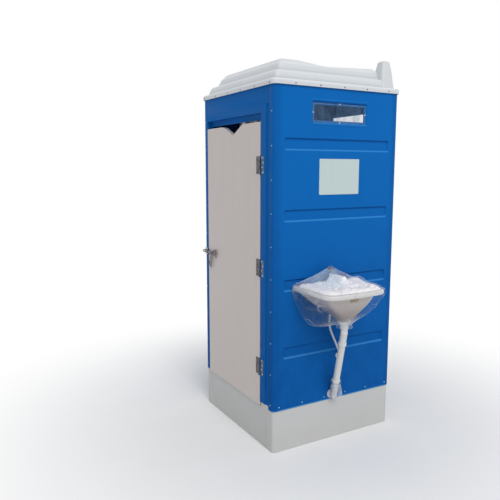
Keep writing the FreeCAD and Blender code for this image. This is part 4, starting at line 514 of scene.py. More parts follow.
def build_film():
    """Thin clear plastic film: misty in patches, white along its folds, bluish-white where it stands free
    as a painted sky reflection, and darker below the rim as painted shade.
    """
    material, shader, place = new_material("wrapping film")
    fold, free = stored(place.tree, "fold"), stored(place.tree, "free")
    fine = noise(place, 70.0, 4.0, 0.6)
    mist = ramp(noise(place, 14.0, 5.0, 0.6), 0.4, 0.75) * 0.05
    crease = (1.0 - ramp(abs(noise(place, 9.0, 1.0, 0.5) - 0.5), 0.0, 0.012)) * 0.12
    facing = Wire(place.tree, add(place.tree, "ShaderNodeLayerWeight").outputs["Facing"])
    # Where the film stands free, more haze and a bluish-white tone: a painted sky reflection; below the rim
    # a darker tone: painted shade
    amount = mist + crease + fold * 0.6 + facing ** 6.0 * 0.38 + 0.025 + free * 0.13
    over = ramp(axes(place)[2], BASIN_TOP - 0.01, BASIN_TOP + 0.02)
    tone = blend(free, blend(over, (0.46, 0.54, 0.58), (0.88, 0.85, 0.86)), (0.73, 0.87, 0.97))
    tone = blend(ramp(fold, 0.3, 0.75), tone, (0.87, 0.86, 0.88))
    fill(shader, Base_Color=tone, Roughness=fine * 0.2 + 0.14, Alpha=amount.least(0.8))
    bump(shader, fine, 0.001, 0.3)
    return material


def build_foam():
    """White crumpled packing foam."""
    material, shader, place = new_material("packing foam")
    cloud = noise(place, 55.0, 5.0, 0.7)
    tone = blend(cloud, (0.88, 0.84, 0.83), (0.97, 0.94, 0.93))
    fill(shader, Base_Color=tone, Roughness=cloud * 0.2 + 0.45, Subsurface_Weight=0.15,
         Subsurface_Radius=(0.01, 0.01, 0.01))
    bump(shader, noise(place, 120.0, 6.0, 0.7), 0.002, 0.8)
    return material


window_sheet = build_clear_sheet("window sheet", 0.22, (0.13, 0.26, 0.46))
# The left pane is nearly opaque dark blue: painted shade standing in for the dark inside of the cabin
painted_shade_pane = build_clear_sheet("window sheet darkened as painted shade", 1.2, (0.02, 0.07, 0.16))
film, foam = build_film(), build_foam()


# Camera, at the photograph's viewing angle

def make_camera():
    """A camera fitted to the outline corners of the cabin in the photograph."""
    down, turned = 8.10, 60.44
    data = bpy.data.cameras.new("Camera")
    data.sensor_width = 36
    data.lens = 40.08
    data.clip_start = 0.05
    data.clip_end = 60
    camera = link(bpy.data.objects.new("Camera", data))
    camera.location = (3.062, -2.083, 1.654)
    camera.rotation_euler = (math.radians(90 - down), 0, math.radians(turned))
    bpy.context.scene.camera = camera


make_camera()


# Supply hose from the tap's tail to the elbow on the wall

HOSE_ROUTE = [(505.3, -90, 878.7), (505.3, -90, 812.7), (500.3, -90, 742.7), (488, -52, 672),
              (470, -4, 600), (468, 20, 545.3)]
HOSE_DIAMETER = 0.012


def spline_length(curve):
    """Length of a curve's own line, from the mesh that Blender makes of it without a bevel."""
    plain = curve.copy()
    plain.bevel_depth = 0
    holder = bpy.data.objects.new("measure", plain)
    mesh = bpy.data.meshes.new_from_object(holder)
    spots = np.zeros(len(mesh.vertices) * 3)
    mesh.vertices.foreach_get("co", spots)
    bpy.data.objects.remove(holder)
    bpy.data.curves.remove(plain)
    bpy.data.meshes.remove(mesh)
    return float(np.linalg.norm(np.diff(spots.reshape(-1, 3), axis=0), axis=1).sum())


def make_hose():
    """Flexible hose: a spline of third order along its route, ending on its first and last points."""
    curve = bpy.data.curves.new("supply_hose", "CURVE")
    curve.dimensions = "3D"
    curve.bevel_depth = HOSE_DIAMETER / 2
    curve.bevel_resolution = 4
    curve.resolution_u = 16
    curve.use_fill_caps = True
    spline = curve.splines.new("NURBS")
    spline.points.add(len(HOSE_ROUTE) - 1)
    for point, spot in zip(spline.points, HOSE_ROUTE):
        point.co = (*(value * MM for value in spot), 1)
    spline.order_u = 3
    spline.use_endpoint_u = True
    hose = link(bpy.data.objects.new("supply_hose", curve))
    settle(hose, hose_grey, "cabin", "hose_plastic", "basin_hose")
    tuple(value * MM for value in HOSE_ROUTE[0])
    spline_length(curve)


make_hose()


# Walls

def pressed(along, high):
    """Depth of the pressed strips and of the window recess at a place on a wall."""
    depth = np.zeros_like(along)
    for middle in STRIP_MIDS:
        depth += STRIP_DEEP * soft_box(along, high - middle, *STRIP_HALF, 0.014, 0.010)
    return depth + WINDOW_DEEP * soft_box(along, high - WINDOW_MID, *WINDOW_HALF, 0.010, 0.006)


def window_bead(along, high):
    """Low raised bead round the window recess: the difference of two soft boxes."""
    proud = 0.0018
    up = high - WINDOW_MID
    outer = soft_box(along, up, WINDOW_HALF[0] + 0.016, WINDOW_HALF[1] + 0.014, 0.014, 0.006)
    inner = soft_box(along, up, WINDOW_HALF[0] + 0.004, WINDOW_HALF[1] + 0.004, 0.010, 0.003)
    return proud * (outer - inner)


def swell(along, high, seed):
    """Slow bulges of the skin, up to 0.9 mm, fading out at the panel's edges and round the window."""
    fade = 0.12
    broad = lattice(along * 4.5 + 20, high * 3.1 + 3, seed)
    narrow = lattice(along * 9 + 30, high * 7 + 9, seed + 1)
    edge = smooth(0, 0.10, HALF - np.abs(along))
    edge = edge * smooth(0, fade, high - WALL_FOOT) * smooth(0, fade, WALL_TOP - high)
    calm = 1 - soft_box(along, high - WINDOW_MID, 0.25, 0.11, 0.03, 0.05)
    return 0.0012 * (broad + 0.5 * narrow - 0.75) * edge * calm


def edge_marks(push, high):
    """Painted highlight where a pressed edge faces up and along the wall's foot; painted shade where an
    edge faces down.
    """
    flat = 0.15
    slope = np.gradient(push, high[:, 0], axis=0)
    lip = 0.55 * (1 - smooth(0.004, 0.007, high - WALL_FOOT))
    return np.maximum(0.36 * np.clip(-slope - flat, 0, 1), lip), 0.6 * np.clip(slope - flat, 0, 1)


def height_lines():
    """Grid heights: close together over the strips' and the window's slopes and the foot's lip."""
    marks = [middle + edge for middle in STRIP_MIDS for edge in both(STRIP_HALF[1])]
    marks += [WINDOW_MID + edge for edge in both(WINDOW_HALF[1], WINDOW_HALF[1] + 0.012)]
    return lines(WALL_FOOT, WALL_TOP, 0.03, [*marks, WALL_FOOT + 0.006],
                 [WINDOW_MID + edge for edge in both(GLASS_HALF[1])])


def length_lines(limit):
    """Grid places along a wall: close together over the ends of the strips and of the window."""
    marks = both(STRIP_HALF[0], WINDOW_HALF[0], WINDOW_HALF[0] + 0.014)
    return lines(-limit, limit, 0.03, marks, both(GLASS_HALF[0]))


def glass_hole(along, high):
    """True for each face inside the window's opening."""
    middle_along = (along[:-1, :-1] + along[1:, 1:]) / 2
    middle_high = (high[:-1, :-1] + high[1:, 1:]) / 2
    return (np.abs(middle_along) < GLASS_HALF[0]) & (np.abs(middle_high - WINDOW_MID) < GLASS_HALF[1])


def wall_push(along, high, seed):
    """How far the skin stands out from its flat: bead and bulges, less the pressed strips and recess."""
    return window_bead(along, high) - pressed(along, high) + swell(along, high, seed)


def wall_piece(name, points, hole, marks, node, flip=False):
    """Wall skin from its grid, with its hole, its painted highlight and painted shade marks and its
    thickness.
    """
    obj = grid_piece(name, points, drop=hole, flip=flip)
    for label, values in zip(("worn", "grimy"), marks):
        mark(obj, label, values)
    thicken(clean(obj), SKIN)
    return settle(obj, wall_blue, "cabin", "wall_plastic", node)


def side_wall(name, node, side):
    """Side wall: a plan path of wrap, arc, straight, arc and wrap, times height, pressed along normals."""
    inner = HALF - CORNER
    flat = length_lines(inner)
    turn = np.linspace(0, math.pi / 2, 9)[1:-1]
    wrap = np.linspace(WRAP_EDGE, inner, 4)
    x, y = path((wrap, -HALF), arc((inner, -inner), CORNER, turn - math.pi / 2), (HALF, flat),
                arc((inner, inner), CORNER, turn), (wrap[::-1], HALF))
    out_x, out_y = path((0 * wrap, -1), arc((0, 0), 1, turn - math.pi / 2), (1, 0 * flat),
                        arc((0, 0), 1, turn), (0 * wrap, 1))
    beyond = np.full(len(wrap) + len(turn), 9.0)
    along, high = np.meshgrid(np.concatenate([-beyond, flat, beyond]), height_lines())
    push = wall_push(along, high, 5 if side > 0 else 11)
    points = to_points(side * (x + out_x * push), y + out_y * push, high)
    # Painted highlight and painted shade along the pressed edges, and painted shade near the corners
    worn, grimy = edge_marks(push, high)
    corner_shade = 0.3 * smooth(0.385, inner, np.abs(along))
    return wall_piece(name, points, glass_hole(along, high), (worn, np.maximum(grimy, corner_shade)), node,
                      flip=side < 0)


def rear_wall():
    """Rear wall: a straight path with a joggled lap at each end, times height, pressed along Y."""
    joggle, lap, lap_end, gap = 0.0043, 0.4003, 0.425, 0.0003
    flat = length_lines(WRAP_EDGE - gap)
    back = np.concatenate([[joggle, joggle], np.zeros(len(flat)), [joggle, joggle]])
    across, high = np.meshgrid(np.concatenate([[-lap_end, -lap], flat, [lap, lap_end]]), height_lines())
    push = np.where(np.abs(across) > WRAP_EDGE, 0, wall_push(across, high, 17))
    return wall_piece("wall_rear", to_points(-across, HALF - back + push, high), glass_hole(across, high),
                      edge_marks(push, high), "back_panel")


side_wall("wall_right", "side_panel_right", 1)
side_wall("wall_left", "side_panel_left", -1)
rear_wall()


# Roof moulding, its profile as reach out from the walls and height

ROOF_PROFILE = [(0.0100, 2.1170), (0.0104, 2.1330), (0.0100, 2.1465), (0.0060, 2.1495), (-0.0140, 2.1530),
                (-0.0215, 2.1600), (-0.0270, 2.1790), (-0.0330, 2.1930), (-0.0430, 2.2030),
                (-0.0640, 2.2080), (-0.0720, 2.2160), (-0.0780, 2.2330), (-0.0850, 2.2510),
                (-0.0950, 2.2565), (-0.1130, 2.2600)]
ROOF_ROUND = 0.024
CROWN, CROWN_RISE = 2.260, 0.005
FIELD_RISE = 0.017
FIELD_FALL = (-0.050, -0.230)
TAIL_CLIMB = (0.010, 0.345)
TOWER_SPOT = (0.381, 0.381)
TOWER_SIZES = [(2.130, 0.056), (2.155, 0.053), (2.175, 0.0495), (2.215, 0.0445), (2.262, 0.0385),
               (2.276, 0.0355), (2.300, 0.0300)]
TOWER_TOP, TOWER_SOFT = 2.318, 0.013


def even_curve(corners, step, blur):
    """Profile walked in even steps and rounded by a moving average over blur steps."""
    corners = np.array(corners)
    run = np.concatenate([[0], np.cumsum(np.linalg.norm(np.diff(corners, axis=0), axis=1))])
    places = np.linspace(0, run[-1], int(run[-1] / step) + 1)
    walked = np.stack([np.interp(places, run, corners[:, axis]) for axis in (0, 1)], axis=-1)
    padded = np.concatenate([np.repeat(walked[:1], blur, 0), walked, np.repeat(walked[-1:], blur, 0)])
    return np.mean([padded[i:i + len(walked)] for i in range(2 * blur + 1)], axis=0)


def rounded_square(half, radius, straight=24):
    """Plan points of a round-cornered square about the origin, from the middle of the right side."""
    side = np.linspace(-1, 1, straight + 1)[:-1]
    angle = np.linspace(0, math.pi / 2, 8)[:-1]
    inner = half - radius
    x, y = path((half, side * inner), arc((inner, inner), radius, angle))
    quarters = [(math.cos(turn), math.sin(turn)) for turn in np.arange(4) * math.pi / 2]
    return path(*[(x * cos - y * sin, x * sin + y * cos) for cos, sin in quarters])


def roof_lift(y):
    """Rise of the roof's top edge: full at the front, none about the middle, slowly up to the rear."""
    front = np.clip((FIELD_FALL[0] - y) / (FIELD_FALL[0] - FIELD_FALL[1]), 0, 1)
    tail = np.clip((y - TAIL_CLIMB[0]) / (TAIL_CLIMB[1] - TAIL_CLIMB[0]), 0, 1)
    return FIELD_RISE * (0.7 * front + 0.3 * smooth(0, 1, front) + 0.92 * tail)


def roof_skin():
    """Roof: rounded squares stacked along the stepped profile, then shrunk to the middle over the crown."""
    lift_from = -0.088
    curve = even_curve(ROOF_PROFILE, 0.003, 2)
    run = np.gradient(curve, axis=0)
    lean = np.unwrap(np.arctan2(run[:, 1], -run[:, 0]))
    bend = np.convolve(np.gradient(lean), np.ones(3) / 3, mode="same")
    rows = []
    for reach, high in curve:
        x, y = rounded_square(HALF + reach, ROOF_ROUND + max(reach, 0))
        share = float(smooth(lift_from, ROOF_PROFILE[-1][0], reach)) if reach < lift_from else 0.0
        rows.append(to_points(x, y, high + share * roof_lift(y)))
    edge = HALF + ROOF_PROFILE[-1][0]
    for share in np.concatenate([[0.99, 0.98, 0.965], np.linspace(0.95, 0, 34)[:-1]]):
        x, y = rounded_square(edge * share, ROOF_ROUND * share)
        dome = CROWN_RISE * smooth(1.0, 0.55, share) * (1 - roof_lift(y) / FIELD_RISE)
        rows.append(to_points(x, y, CROWN + dome + roof_lift(y)))
    bend = np.concatenate([bend, np.zeros(len(rows) - len(bend))])[:, None] * np.ones(len(rows[0]))
    obj = grid_piece("roof_skin", np.array(rows), around=True, cap_last=True)
    # Painted highlight where the profile bends over a shoulder, painted shade where it bends into a groove
    mark(obj, "worn", np.clip(-3.0 * bend, 0, 0.7))
    mark(obj, "grimy", np.clip(3.0 * bend, 0, 0.8))
    finish_mesh(thicken(obj, 0.005), 70)
    return settle(obj, roof_white, "cabin", "roof_plastic", "roof_shell")


def vent_tower():
    """Vent tower: round-cornered squares that taper upwards and close in a soft dome."""
    places, sizes = np.array(TOWER_SIZES).T
    rings = [(np.interp(high, places, sizes), high) for high in np.linspace(places[0], places[-1], 30)]
    for angle in np.linspace(0, math.pi / 2, 9)[1:]:
        drawn_in = TOWER_SOFT * (1 - math.cos(angle)) + 0.004 * math.sin(angle)
        rings.append((sizes[-1] - drawn_in, TOWER_TOP - TOWER_SOFT + TOWER_SOFT * math.sin(angle)))
    last = rings[-1][0]
    rings += [(last * share, TOWER_TOP) for share in (0.75, 0.5, 0.25, 0.05)]
    rows = []
    for size, high in rings:
        x, y = rounded_square(size, 0.42 * size, straight=5)
        rows.append(to_points(x + TOWER_SPOT[0], y + TOWER_SPOT[1], high))
    obj = grid_piece("vent_tower", np.array(rows), around=True, cap_last=True, cap_first=True)
    return settle(obj, roof_white, "cabin", "roof_plastic")


roof_skin()
vent_tower()


# Wash basin

WASTE = (BASIN_WALL + 0.190, BASIN_MID)
RIM_DEEP, UNDER_RIM, BACK_ROUND = 0.027, 0.006, 0.012
BODY_STEP, BODY_FOOT, BASIN_DROP = 0.048, 0.041, 0.191
BODY_TOP = BASIN_TOP - RIM_DEEP - UNDER_RIM


def basin_outline(near, far, half, near_round, far_round, front_round, middle):
    """Plan of the basin: straight back and sides, two corner arcs and a shallow front arc, all tangent."""
    run = math.sqrt((front_round - far_round) ** 2 - (half - far_round) ** 2)
    centre_x, centre_y = far - front_round + run, half - far_round
    lean = math.atan2(centre_y, run)
    side = np.linspace(0, 1, 9)[:-1]
    start = near + near_round
    corner = np.linspace(-math.pi / 2, -lean, 11)[:-1]
    front = np.linspace(-lean, lean, 21)[:-1]
    quarter = np.linspace(math.pi / 2, math.pi, 7)[:-1]
    x, y = path((start + (centre_x - start) * side, -half),
                arc((centre_x, -centre_y), far_round, corner),
                arc((far - front_round, 0), front_round, front),
                arc((centre_x, centre_y), far_round, -corner[::-1]),
                (centre_x + (start - centre_x) * side, half),
                arc((start, half - near_round), near_round, quarter),
                (near, np.linspace(half - near_round, near_round - half, 13)[:-1]),
                arc((start, near_round - half), near_round, quarter + math.pi / 2))
    return x, y + middle


def basin_ring(share, high, back, side, foot, near_round=BACK_ROUND):
    """Outline a share of the way from the rim, set in by back and side, to a round foot over the waste."""
    rim = (BASIN_WALL + back, BASIN_WALL + RIM_REACH - side, RIM_HALF - side, near_round,
           RIM_CORNER - side * 0.5, RIM_BOW - side, RIM_MID)
    round_foot = (WASTE[0] - foot, WASTE[0] + foot, foot, foot * 0.8, foot * 0.8, foot * 1.3, BASIN_MID)
    x, y = basin_outline(*[first * (1 - share) + last * share for first, last in zip(rim, round_foot)])
    return to_points(x, y, high)


def body_share(high):
    """How far the basin's body has drawn in: 1 - (1 - f^1.6)^1.4 of the fall f below its top."""
    fall = np.clip((BODY_TOP - high) / (BASIN_DROP - RIM_DEEP - UNDER_RIM), 0, 1)
    return 1 - (1 - fall ** 1.6) ** 1.4


def basin_shell():
    """Basin: rings up the outside from the waste, round the rim, and down inside to the waste hole."""
    hole, bowl, floor, floor_round, soft = 0.0245, 0.146, 0.036, 0.048, 0.010
    low = BASIN_TOP - BASIN_DROP
    rows = [basin_ring(1, low, 0, 0, hole), basin_ring(1, low, 0, 0, BODY_FOOT - 0.003)]
    for high in np.linspace(low, BODY_TOP, 30):
        rows.append(basin_ring(float(body_share(high)), high, 0, BODY_STEP, BODY_FOOT))
    glazed_from = len(rows) + 2
    for angle in np.linspace(0, math.pi / 2, 5)[1:]:
        inset = BODY_STEP - 0.008 * (1 - math.cos(angle))
        rows.append(basin_ring(0, BODY_TOP + UNDER_RIM * math.sin(angle), 0, inset, BODY_FOOT))
    for rise, inset in ((0, 0.006), (0.002, 0.002), (0.005, 0.0)):
        rows.append(basin_ring(0, BASIN_TOP - RIM_DEEP + rise, 0, inset, BODY_FOOT))
    for angle in np.linspace(0, math.pi / 2, 8):
        inset = soft * (1 - math.cos(angle))
        rows.append(basin_ring(0, BASIN_TOP - soft + soft * math.sin(angle), inset * 0.3, inset, BODY_FOOT))
    rows.append(basin_ring(0, BASIN_TOP, 0.045, 0.030, floor, 0.02))
    rows.append(basin_ring(0, BASIN_TOP - 0.0012, 0.090, 0.045, floor, floor_round))
    for angle in np.linspace(0.05, math.pi / 2, 24):
        share = (1 - math.cos(angle)) ** 0.7
        rows.append(basin_ring(share, BASIN_TOP - bowl * math.sin(angle), 0.096, 0.052, floor, floor_round))
    rows.append(basin_ring(1, BASIN_TOP - bowl - 0.001, 0, 0, hole))
    rows.append(rows[0])
    points = np.array(rows)
    high = points[..., 2]
    # Darker below the rim and more so lower down: partly bare unglazed ceramic, partly painted shade under
    # the rim
    bare = smooth(BODY_TOP + 0.004, BODY_TOP - 0.012, high) * (0.6 + 0.4 * smooth(0.95, 0.84, high))
    bare[glazed_from:] = 0
    obj = clean(mark(grid_piece("basin", points, around=True, flip=True), "bare", bare))
    return settle(finish_mesh(obj, 60), basin_glaze, "cabin", "ceramic", "wash_basin")


def basin_apron():
    """Thickened back of the basin against the wall, with round lower corners."""
    half, deep, low, high, middle, radius, soft = 0.138, 0.010, 0.925, 0.985, 0.95, 0.02, 0.003
    angle = np.linspace(0, -math.pi / 2, 7)
    y, z = path((np.array([-half, half]), high), arc((half - radius, low + radius), radius, angle),
                arc((radius - half, low + radius), radius, angle - math.pi / 2))
    rows = [to_points(BASIN_WALL + reach, RIM_MID + y * size, (z - middle) * size + middle)
            for reach, size in ((0, 1), (deep - soft, 1), (deep, 0.985))]
    obj = grid_piece("basin_apron", np.array(rows), around=True, cap_first=True, cap_last=True)
    # The apron is darkened the same way: partly bare ceramic, partly painted shade under the rim
    return settle(mark(obj, "bare", np.full(len(obj.data.vertices), 0.8)), basin_glaze, "cabin", "ceramic")


basin_shell()
basin_apron()


# Packing: foam in the bowl, clear film over the basin and round the pipe's foot

TAP = (0.5053, BASIN_MID)
TAP_HOLE = 0.0215
SPOUT = (0.512, 0.618)
FILM_GAP = 0.0035
KNOB_EDGE = (0.0205, 1.0925)
FILM_RAYS = 260


def crumple(u, v, seed):
    """Crushed-sheet height from 0 to 1: three scales of sharp folds added together."""
    total = 0.55 * ridged(u, v, seed) + 0.3 * ridged(u * 2.3 + v, v * 2.1 - u, seed + 1)
    return total + 0.15 * ridged(u * 5.1 - v, v * 4.7 + u * 0.6, seed + 2)


def foam_height(x, y, edge):
    """Foam over the bowl: a low crushed bed, a ridge over the tap's spout and two lumps by the far side."""
    bed = 0.004 + 0.017 * crumple(x * 34 + 7, y * 30 + 21, 31)
    beyond_spout = np.maximum(np.maximum(SPOUT[0] - x, x - SPOUT[1]), 0)
    far = np.hypot((y - BASIN_MID) / 0.030, beyond_spout / 0.030)
    ridge = (0.053 + 0.006 * crumple(x * 60, y * 60 + 40, 41)) * np.exp(-far ** 3)
    lump = 0.028 * np.exp(-(((x - 0.575) / 0.050) ** 2 + ((y - 0.045) / 0.048) ** 4))
    lump += 0.012 * np.exp(-(((x - 0.66) / 0.06) ** 2 + ((y - 0.02) / 0.05) ** 2))
    lift = 0.0008 + 0.0027 * smooth(0, 0.15, edge)
    return BASIN_TOP + lift + edge * np.maximum(np.maximum(bed, ridge), lump + 0.5 * bed)


def packing_foam():
    """Crushed foam sheet: shrinking outlines of the bowl, at foam_height, with a hole for the tap."""
    rows = []
    for share in np.linspace(0, 0.985, 74):
        x, y, _ = basin_ring(share, 0, 0.030, 0.015, 0.012, 0.02).T
        edge = smooth(0, 0.10, share) * (0.6 + 0.4 * smooth(0, 0.3, share))
        wobble = 0.004 * (lattice(x * 22 + 9, y * 22 + 30, 61) - 0.5) * (1 - share)
        rows.append(to_points(x + wobble, y + wobble, foam_height(x, y, edge)))
    points = np.array(rows)
    middle = (points[:-1] + points[1:]) / 2
    hole = np.hypot(middle[..., 0] - TAP[0], middle[..., 1] - TAP[1]) < TAP_HOLE
    obj = clean(grid_piece("packing_foam", points, around=True, drop=hole, cap_last=True))
    settle(thicken(obj, 0.0012, offset=1), foam, "cabin", "cistern_plastic")


def resample(x, y, count):
    """Closed outline walked in even steps."""
    x, y = np.append(x, x[0]), np.append(y, y[0])
    run = np.concatenate([[0], np.cumsum(np.hypot(np.diff(x), np.diff(y)))])
    places = np.linspace(0, run[-1], count + 1)[:-1]
    return np.interp(places, run, x), np.interp(places, run, y)


# The film under the rim, hanging straight and drooping: share of the way, reach out from the neck, height
HANG = np.array([(0.00, 1.00, 0.975), (0.30, 0.86, 0.930), (0.50, 0.70, 0.892), (0.70, 0.45, 0.850),
                 (0.88, 0.16, 0.812), (1.00, 0.00, 0.792)])
DROOP = np.array([(0.00, 1.00, 0.977), (0.20, 0.95, 0.916), (0.40, 0.83, 0.857), (0.58, 0.72, 0.803),
                  (0.72, 0.60, 0.773), (0.82, 0.42, 0.772), (0.94, 0.12, 0.787), (1.00, 0.00, 0.789)])
NECK_HIGH = 0.790


def body_reach(angle):
    """Distance from the waste's line to the basin's body at each angle, as a function of the height."""
    table = []
    for share in np.linspace(0, 1, 24):
        x, y, _ = basin_ring(share, 0, 0, BODY_STEP, BODY_FOOT).T
        out_x, out_y = x - WASTE[0], y - WASTE[1]
        turn = np.arctan2(out_y, out_x)
        table.append(np.interp(angle, turn, np.hypot(out_x, out_y), period=2 * math.pi))
    table = np.array(table)

    def reach(high):
        """Distance at a height, in a straight line between the rings nearest to it."""
        place = np.broadcast_to(body_share(high), angle.shape) * (len(table) - 1.001)
        low = place.astype(int)
        column = np.arange(len(angle))
        return table[low, column] * (1 - place + low) + table[low + 1, column] * (place - low)

    return reach


def film_folds(angle, share, count, slant, seed):
    """Folds that run outwards, a count of them round the film, turning by a slant on the way."""
    turn = angle * count / (2 * math.pi) + slant * share
    return ridged(turn, np.full(len(angle), 3.3 + 2.5 * share), seed, count)


def film_crown(angle, rim_x, rim_y):
    """Film from the knob to the rim, as rows of x, y, z, fold and free: rays that sag onto the foam."""
    turn = np.arctan2(rim_y - TAP[1], rim_x - TAP[0])
    for radius, high in ((0.001, 1.1012), (0.010, 1.1010), (0.0175, 1.0985), KNOB_EDGE):
        yield (*arc(TAP, radius, turn), high, 0.12, 0.3)
    start_x, start_y = arc(TAP, KNOB_EDGE[0], turn)
    rim_high = BASIN_TOP + FILM_GAP
    for share in np.linspace(0, 1, 46)[1:]:
        x, y = start_x + (rim_x - start_x) * share, start_y + (rim_y - start_y) * share
        wave = film_folds(angle, share, 26, 0.8, 71)
        bow = math.sin(math.pi * share)
        sag = 0.013 * bow * (0.6 + 0.4 * np.cos(angle))
        rise = KNOB_EDGE[1] + (rim_high - KNOB_EDGE[1]) * share - sag + 0.0035 * (wave - 0.4) * bow
        under = foam_height(x, y, 1.0) + 0.0045
        inside = smooth(1.0, 0.86, share)
        z = np.maximum(rise, rim_high + (under - rim_high) * inside)
        z = z + 0.0015 * crumple(x * 50, y * 50 + 30, 91) * inside
        pleat = smooth(0.86, 1.0, wave) * lattice(angle * 3 + 30, np.full(len(angle), 9 * share), 73)
        # Where the film stands clear of the foam on the near side; its material paints a sky reflection
        # there
        free = smooth(0.002, 0.012, rise - under) * smooth(BASIN_MID + 0.02, BASIN_MID - 0.035, y)
        yield x, y, z, 0.4 * pleat + 0.13 + 0.22 * wave ** 3 + 0.06 * (1 - share), free


def film_roll(angle, rim_x, rim_y):
    """Film round the rim's edge, as rows of x, y, z, fold and free."""
    for turn in np.linspace(0, math.pi / 2, 6)[1:]:
        x, y = arc((rim_x, rim_y), FILM_GAP * math.sin(turn), angle)
        yield x, y, BASIN_TOP - 0.004 + 0.0075 * math.cos(turn), 0.08, 0.0


def film_bag(angle, rim_reach):
    """Film under the rim, as rows of x, y, z, fold and free: drooping to the left, drawn to a neck."""
    droops_at = -2.26
    reach = body_reach(angle)
    lean = np.abs((angle - droops_at + math.pi) % (2 * math.pi) - math.pi)
    droop = np.exp(-(lean / 0.95) ** 2.4)
    neck = 0.0405 + 0.002 * film_folds(angle, 0, 60, 0, 72)
    for share in np.linspace(0, 1, 64)[1:]:
        out, high = [np.interp(share, HANG[:, 0], HANG[:, column]) * (1 - droop)
                     + np.interp(share, DROOP[:, 0], DROOP[:, column]) * droop for column in (1, 2)]
        wave, ripple = film_folds(angle, share, 18, 1.6, 75), film_folds(angle, share, 47, -1.2, 77)
        swing = 0.007 * (wave - 0.45) * math.sin(math.pi * min(share * 1.15, 1))
        swing = swing + 0.0025 * (ripple - 0.5) * share
        hung = rim_reach * out + neck * (1 - out) + swing
        radius = np.maximum(hung, (reach(high) + FILM_GAP) * (high < BODY_TOP))
        pleat = smooth(0.88, 1.0, wave) * lattice(angle * 3 + 20, np.full(len(angle), 7 * share), 79)
        gather = smooth(0.6, 0.92, share)
        fold = 0.75 * pleat + 0.56 * gather + 0.45 * gather * ripple ** 3 + 0.06 * smooth(0.25, 0.0, share)
        yield (*arc(WASTE, radius, angle), high + 0.003 * (wave - 0.5) * share, fold, 0.0)
    for drop, grow in ((0.006, -0.001), (0.014, 0.003), (0.022, 0.006)):
        ring = neck - 0.001 + grow + 0.003 * film_folds(angle, 1, 47, -1.2, 77)
        yield (*arc(WASTE, ring, angle), NECK_HIGH - drop, 0.3, 0.0)


def film_cover():
    """Clear film: from the tap's knob to the rim, round it, and on under the bowl to a gathered neck.

    Each point inside it is averaged twice with its neighbours along the ray, weighted 1, 2 and 1.
    """
    outline = basin_ring(0, 0, 0.0005, -0.005, 0.05)
    rim_x, rim_y = resample(outline[:, 0], outline[:, 1], FILM_RAYS)
    angle = np.arctan2(rim_y - WASTE[1], rim_x - WASTE[0])
    rim_reach = np.hypot(rim_y - WASTE[1], rim_x - WASTE[0]) + FILM_GAP
    rows = [*film_crown(angle, rim_x, rim_y), *film_roll(angle, rim_x, rim_y), *film_bag(angle, rim_reach)]
    x, y, z, fold, free = np.stack([np.broadcast_arrays(*row) for row in rows], axis=1)
    points = to_points(np.maximum(x, BASIN_WALL + 0.0018), y, z)
    for _ in range(2):
        points[5:-4] = (points[4:-5] + 2 * points[5:-4] + points[6:-3]) / 4
    middle = (points[:-1] + np.roll(points, -1, axis=1)[1:]) / 2
    behind = (middle[..., 0] < BASIN_WALL + 0.020) & (np.abs(middle[..., 1] - RIM_MID) < 0.170)
    behind &= middle[..., 2] < BASIN_TOP + 0.001
    obj = grid_piece("basin_film", points, around=True, drop=behind, cap_first=True)
    clean(mark(mark(obj, "fold", np.clip(fold, 0, 1)), "free", free))
    settle(finish_mesh(obj, 180), film, "cabin", "window_glass")


def basin_label():
    """Small blank label under the front of the rim: a patch of the body's rings, set out a hair."""
    angle = np.linspace(-0.46, 0.02, 16)
    reach = body_reach(angle)
    heights, proud = np.linspace(0.962, 0.940, 6), 0.0005
    rows = [to_points(*arc(WASTE, reach(high) + proud, angle), high) for high in heights]
    obj = thicken(grid_piece("basin_label", np.array(rows), flip=True), 0.0004, offset=0)
    return settle(obj, label_tan, "cabin", "cistern_plastic")


def foot_wrap():
    """Film wound round the waste pipe's foot: noisy rings about the pipe's line."""
    low, high, folds = np.array([0.4835, -0.012, 0.291]), np.array([0.5155, -0.042, 0.392]), 12
    line = (high - low) / np.linalg.norm(high - low)
    side = np.cross(line, [0, 0, 1.0])
    side /= np.linalg.norm(side)
    front = np.cross(side, line)
    angle = np.linspace(0, 2 * math.pi, 49)[:-1]
    rows, marks = [], []
    for share in np.linspace(0, 1, 30):
        turn = angle * folds / (2 * math.pi) + share * 2
        wave = ridged(turn, np.full(len(angle), share * 3 + 2), 83, folds)
        radius = 0.0268 + 0.004 * wave + 0.011 * (1 - share) ** 1.5 + 0.003 * smooth(0.9, 1.0, share)
        spot = low + (high - low) * share
        rows.append(spot + np.outer(np.cos(angle) * radius, side) + np.outer(np.sin(angle) * radius, front))
        marks.append(0.42 + 0.2 * wave)
    points = np.array(rows)
    points[..., 0] = np.maximum(points[..., 0], HALF + 0.002)
    obj = mark(grid_piece("foot_film", points, around=True), "fold", marks)
    settle(finish_mesh(obj, 180), film, "cabin", "window_glass")


packing_foam()
film_cover()
basin_label()
foot_wrap()


# Sign plate

